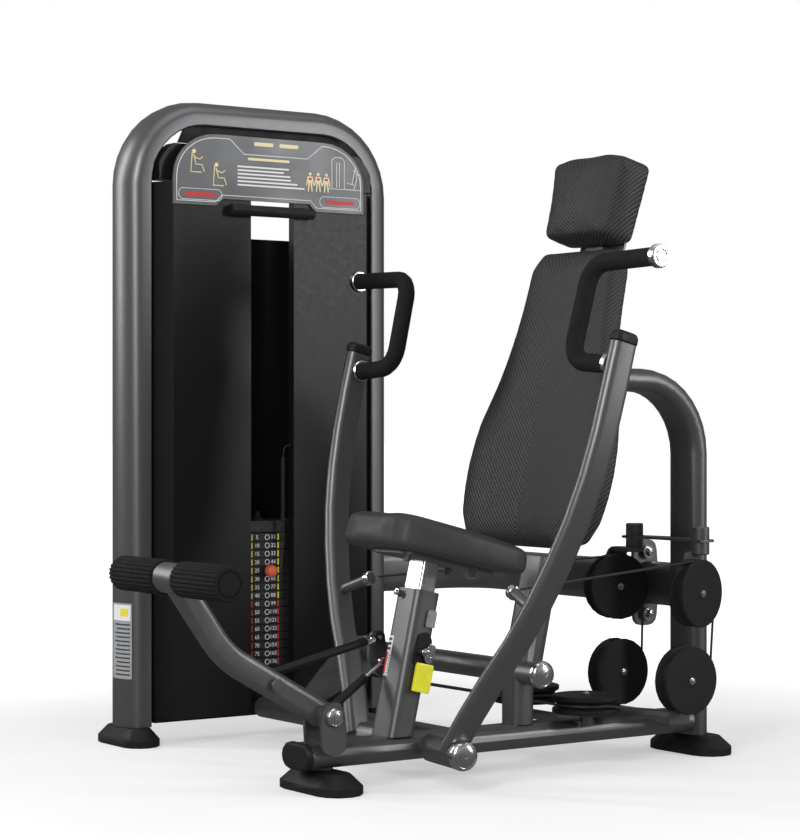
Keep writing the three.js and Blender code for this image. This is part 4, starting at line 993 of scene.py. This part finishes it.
def on_post(distance, back, y):
    """A point by its distance along the seat's leaning post, behind its axis and across, in mm."""
    return at(POST_FOOT[0], y, POST_FOOT[1]) + (UP * distance + BEHIND * back) / 1000


def sleeve_label(white, red, dark):
    """A height mark on the far front corner of the seat sleeve."""
    def line(start, end, lift):
        points = [on_post(0, -31 - lift, 14 + start)]
        for step in range(7):
            angle = radians(90 - (90 - end) * step / 6)
            points.append(on_post(0, -15 - (16 + lift) * sin(angle), 24 + (16 + lift) * cos(angle)))
        return points

    def strip(name, points, level, tall, material):
        points = [point + UP * level / 1000 for point in reversed(points)]
        wrapped_strip(name, points, UP * tall / 1000, 0.0002, material, "frame")

    strip("sleeve_label", line(0, 40, 0.2), 118, 84, white)
    strip("sleeve_label_red", line(9, 44, 0.5), 120, 46, red)
    for row in range(3):
        strip(f"sleeve_label_mark_{row}", line(4, 60, 0.5), 172 + row * 10, 5, dark)
    for row in range(7):
        place = on_post(124 + row * 6, -31.8, 16.5)
        card(f"sleeve_label_bar_{row}", place, -ACROSS, UP, 0.003, 0.0032, 0.0002, dark, "frame")


def adjuster_details(metal, plate):
    """The bracket's bolts and its bare steel tab."""
    side_y = -40
    tab = [(-0.0115, -0.018), (0.0115, -0.018), (0.0115, 0.014), (0.008, 0.018), (-0.008, 0.018),
           (-0.0115, 0.014)]
    shape_piece("adjuster_tab", tab, on_post(249, 13, side_y - 3.2), BEHIND, UP, 0.0012, plate, "frame")
    disc_piece("adjuster_pivot_bolt", bolt_profile(0.0095, 0.008), on_post(178, -2, side_y - 26.8),
               -ACROSS, metal, "frame", "chrome", sides=40)
    disc_piece("adjuster_lever_rivet", bolt_profile(0.0048, 0.003), on_post(168, 20, side_y - 12.9),
               -ACROSS, metal, "adjuster_body", "chrome", sides=32)
    disc_piece("seat_stop_bolt", bolt_profile(0.0085, 0.006), on_post(291, -40.5, 20), -BEHIND, metal,
               "frame", "chrome", sides=40)


# ---------- the whole machine ----------

finish = {
    "frame_paint": frame_paint(),
    "black_plastic": black_plastic(),
    "shroud_black": shroud_black(),
    "chrome": chrome(),
    "rubber_grip": rubber_grip(),
    "upholstery": twill("upholstery_back", BACK_UP, BACK_REAR),
    "plate_black": plate_black(),
    "sign_grey": sign_grey(),
    "yellow_vinyl": yellow_vinyl(),
    "knob_orange": knob_orange(),
    "cable_black": cable_black(),
}
seat_twill = twill("upholstery_seat", BEHIND, -UP, strength=0.05)
white_ink = ink("white_ink", (0.7, 0.7, 0.7))
cream_ink = ink("cream_ink", (0.7, 0.6, 0.36))
red_ink = ink("red_ink", (0.55, 0.02, 0.02))
yellow_ink = ink("yellow_ink", (0.7, 0.62, 0.02))
dark_ink = ink("dark_ink", (0.04, 0.04, 0.042))
grey_ink = ink("grey_ink", (0.3, 0.31, 0.32))

add_camera()
lanyard(finish["cable_black"])
add_studio()
dress_nodes(finish)
paint_chrome_details(finish["chrome"])
paint_hanger(finish["black_plastic"])

pad("back_pad", "back_cushion", finish["upholstery"], "frame", BACK_REAR)
pad("head_pad", "head_cushion", finish["upholstery"], "frame", BACK_REAR)
pad("seat_pad", "seat_cushion", seat_twill, "seat_body", -UP)

end_caps(finish["chrome"])
grip_badges(finish["chrome"])
pulley_faces(finish["black_plastic"], finish["chrome"])
foot_rollers(finish["rubber_grip"])
lever_plug(finish["frame_paint"])
link_ends(finish["chrome"])
flange_bolts(finish["chrome"])
stack_labels(white_ink, yellow_ink, red_ink, finish["plate_black"])
sign_art(white_ink, red_ink, cream_ink)
leg_notice(grey_ink, white_ink, yellow_ink, dark_ink)
sleeve_label(white_ink, red_ink, dark_ink)
adjuster_details(finish["chrome"], bare_steel())
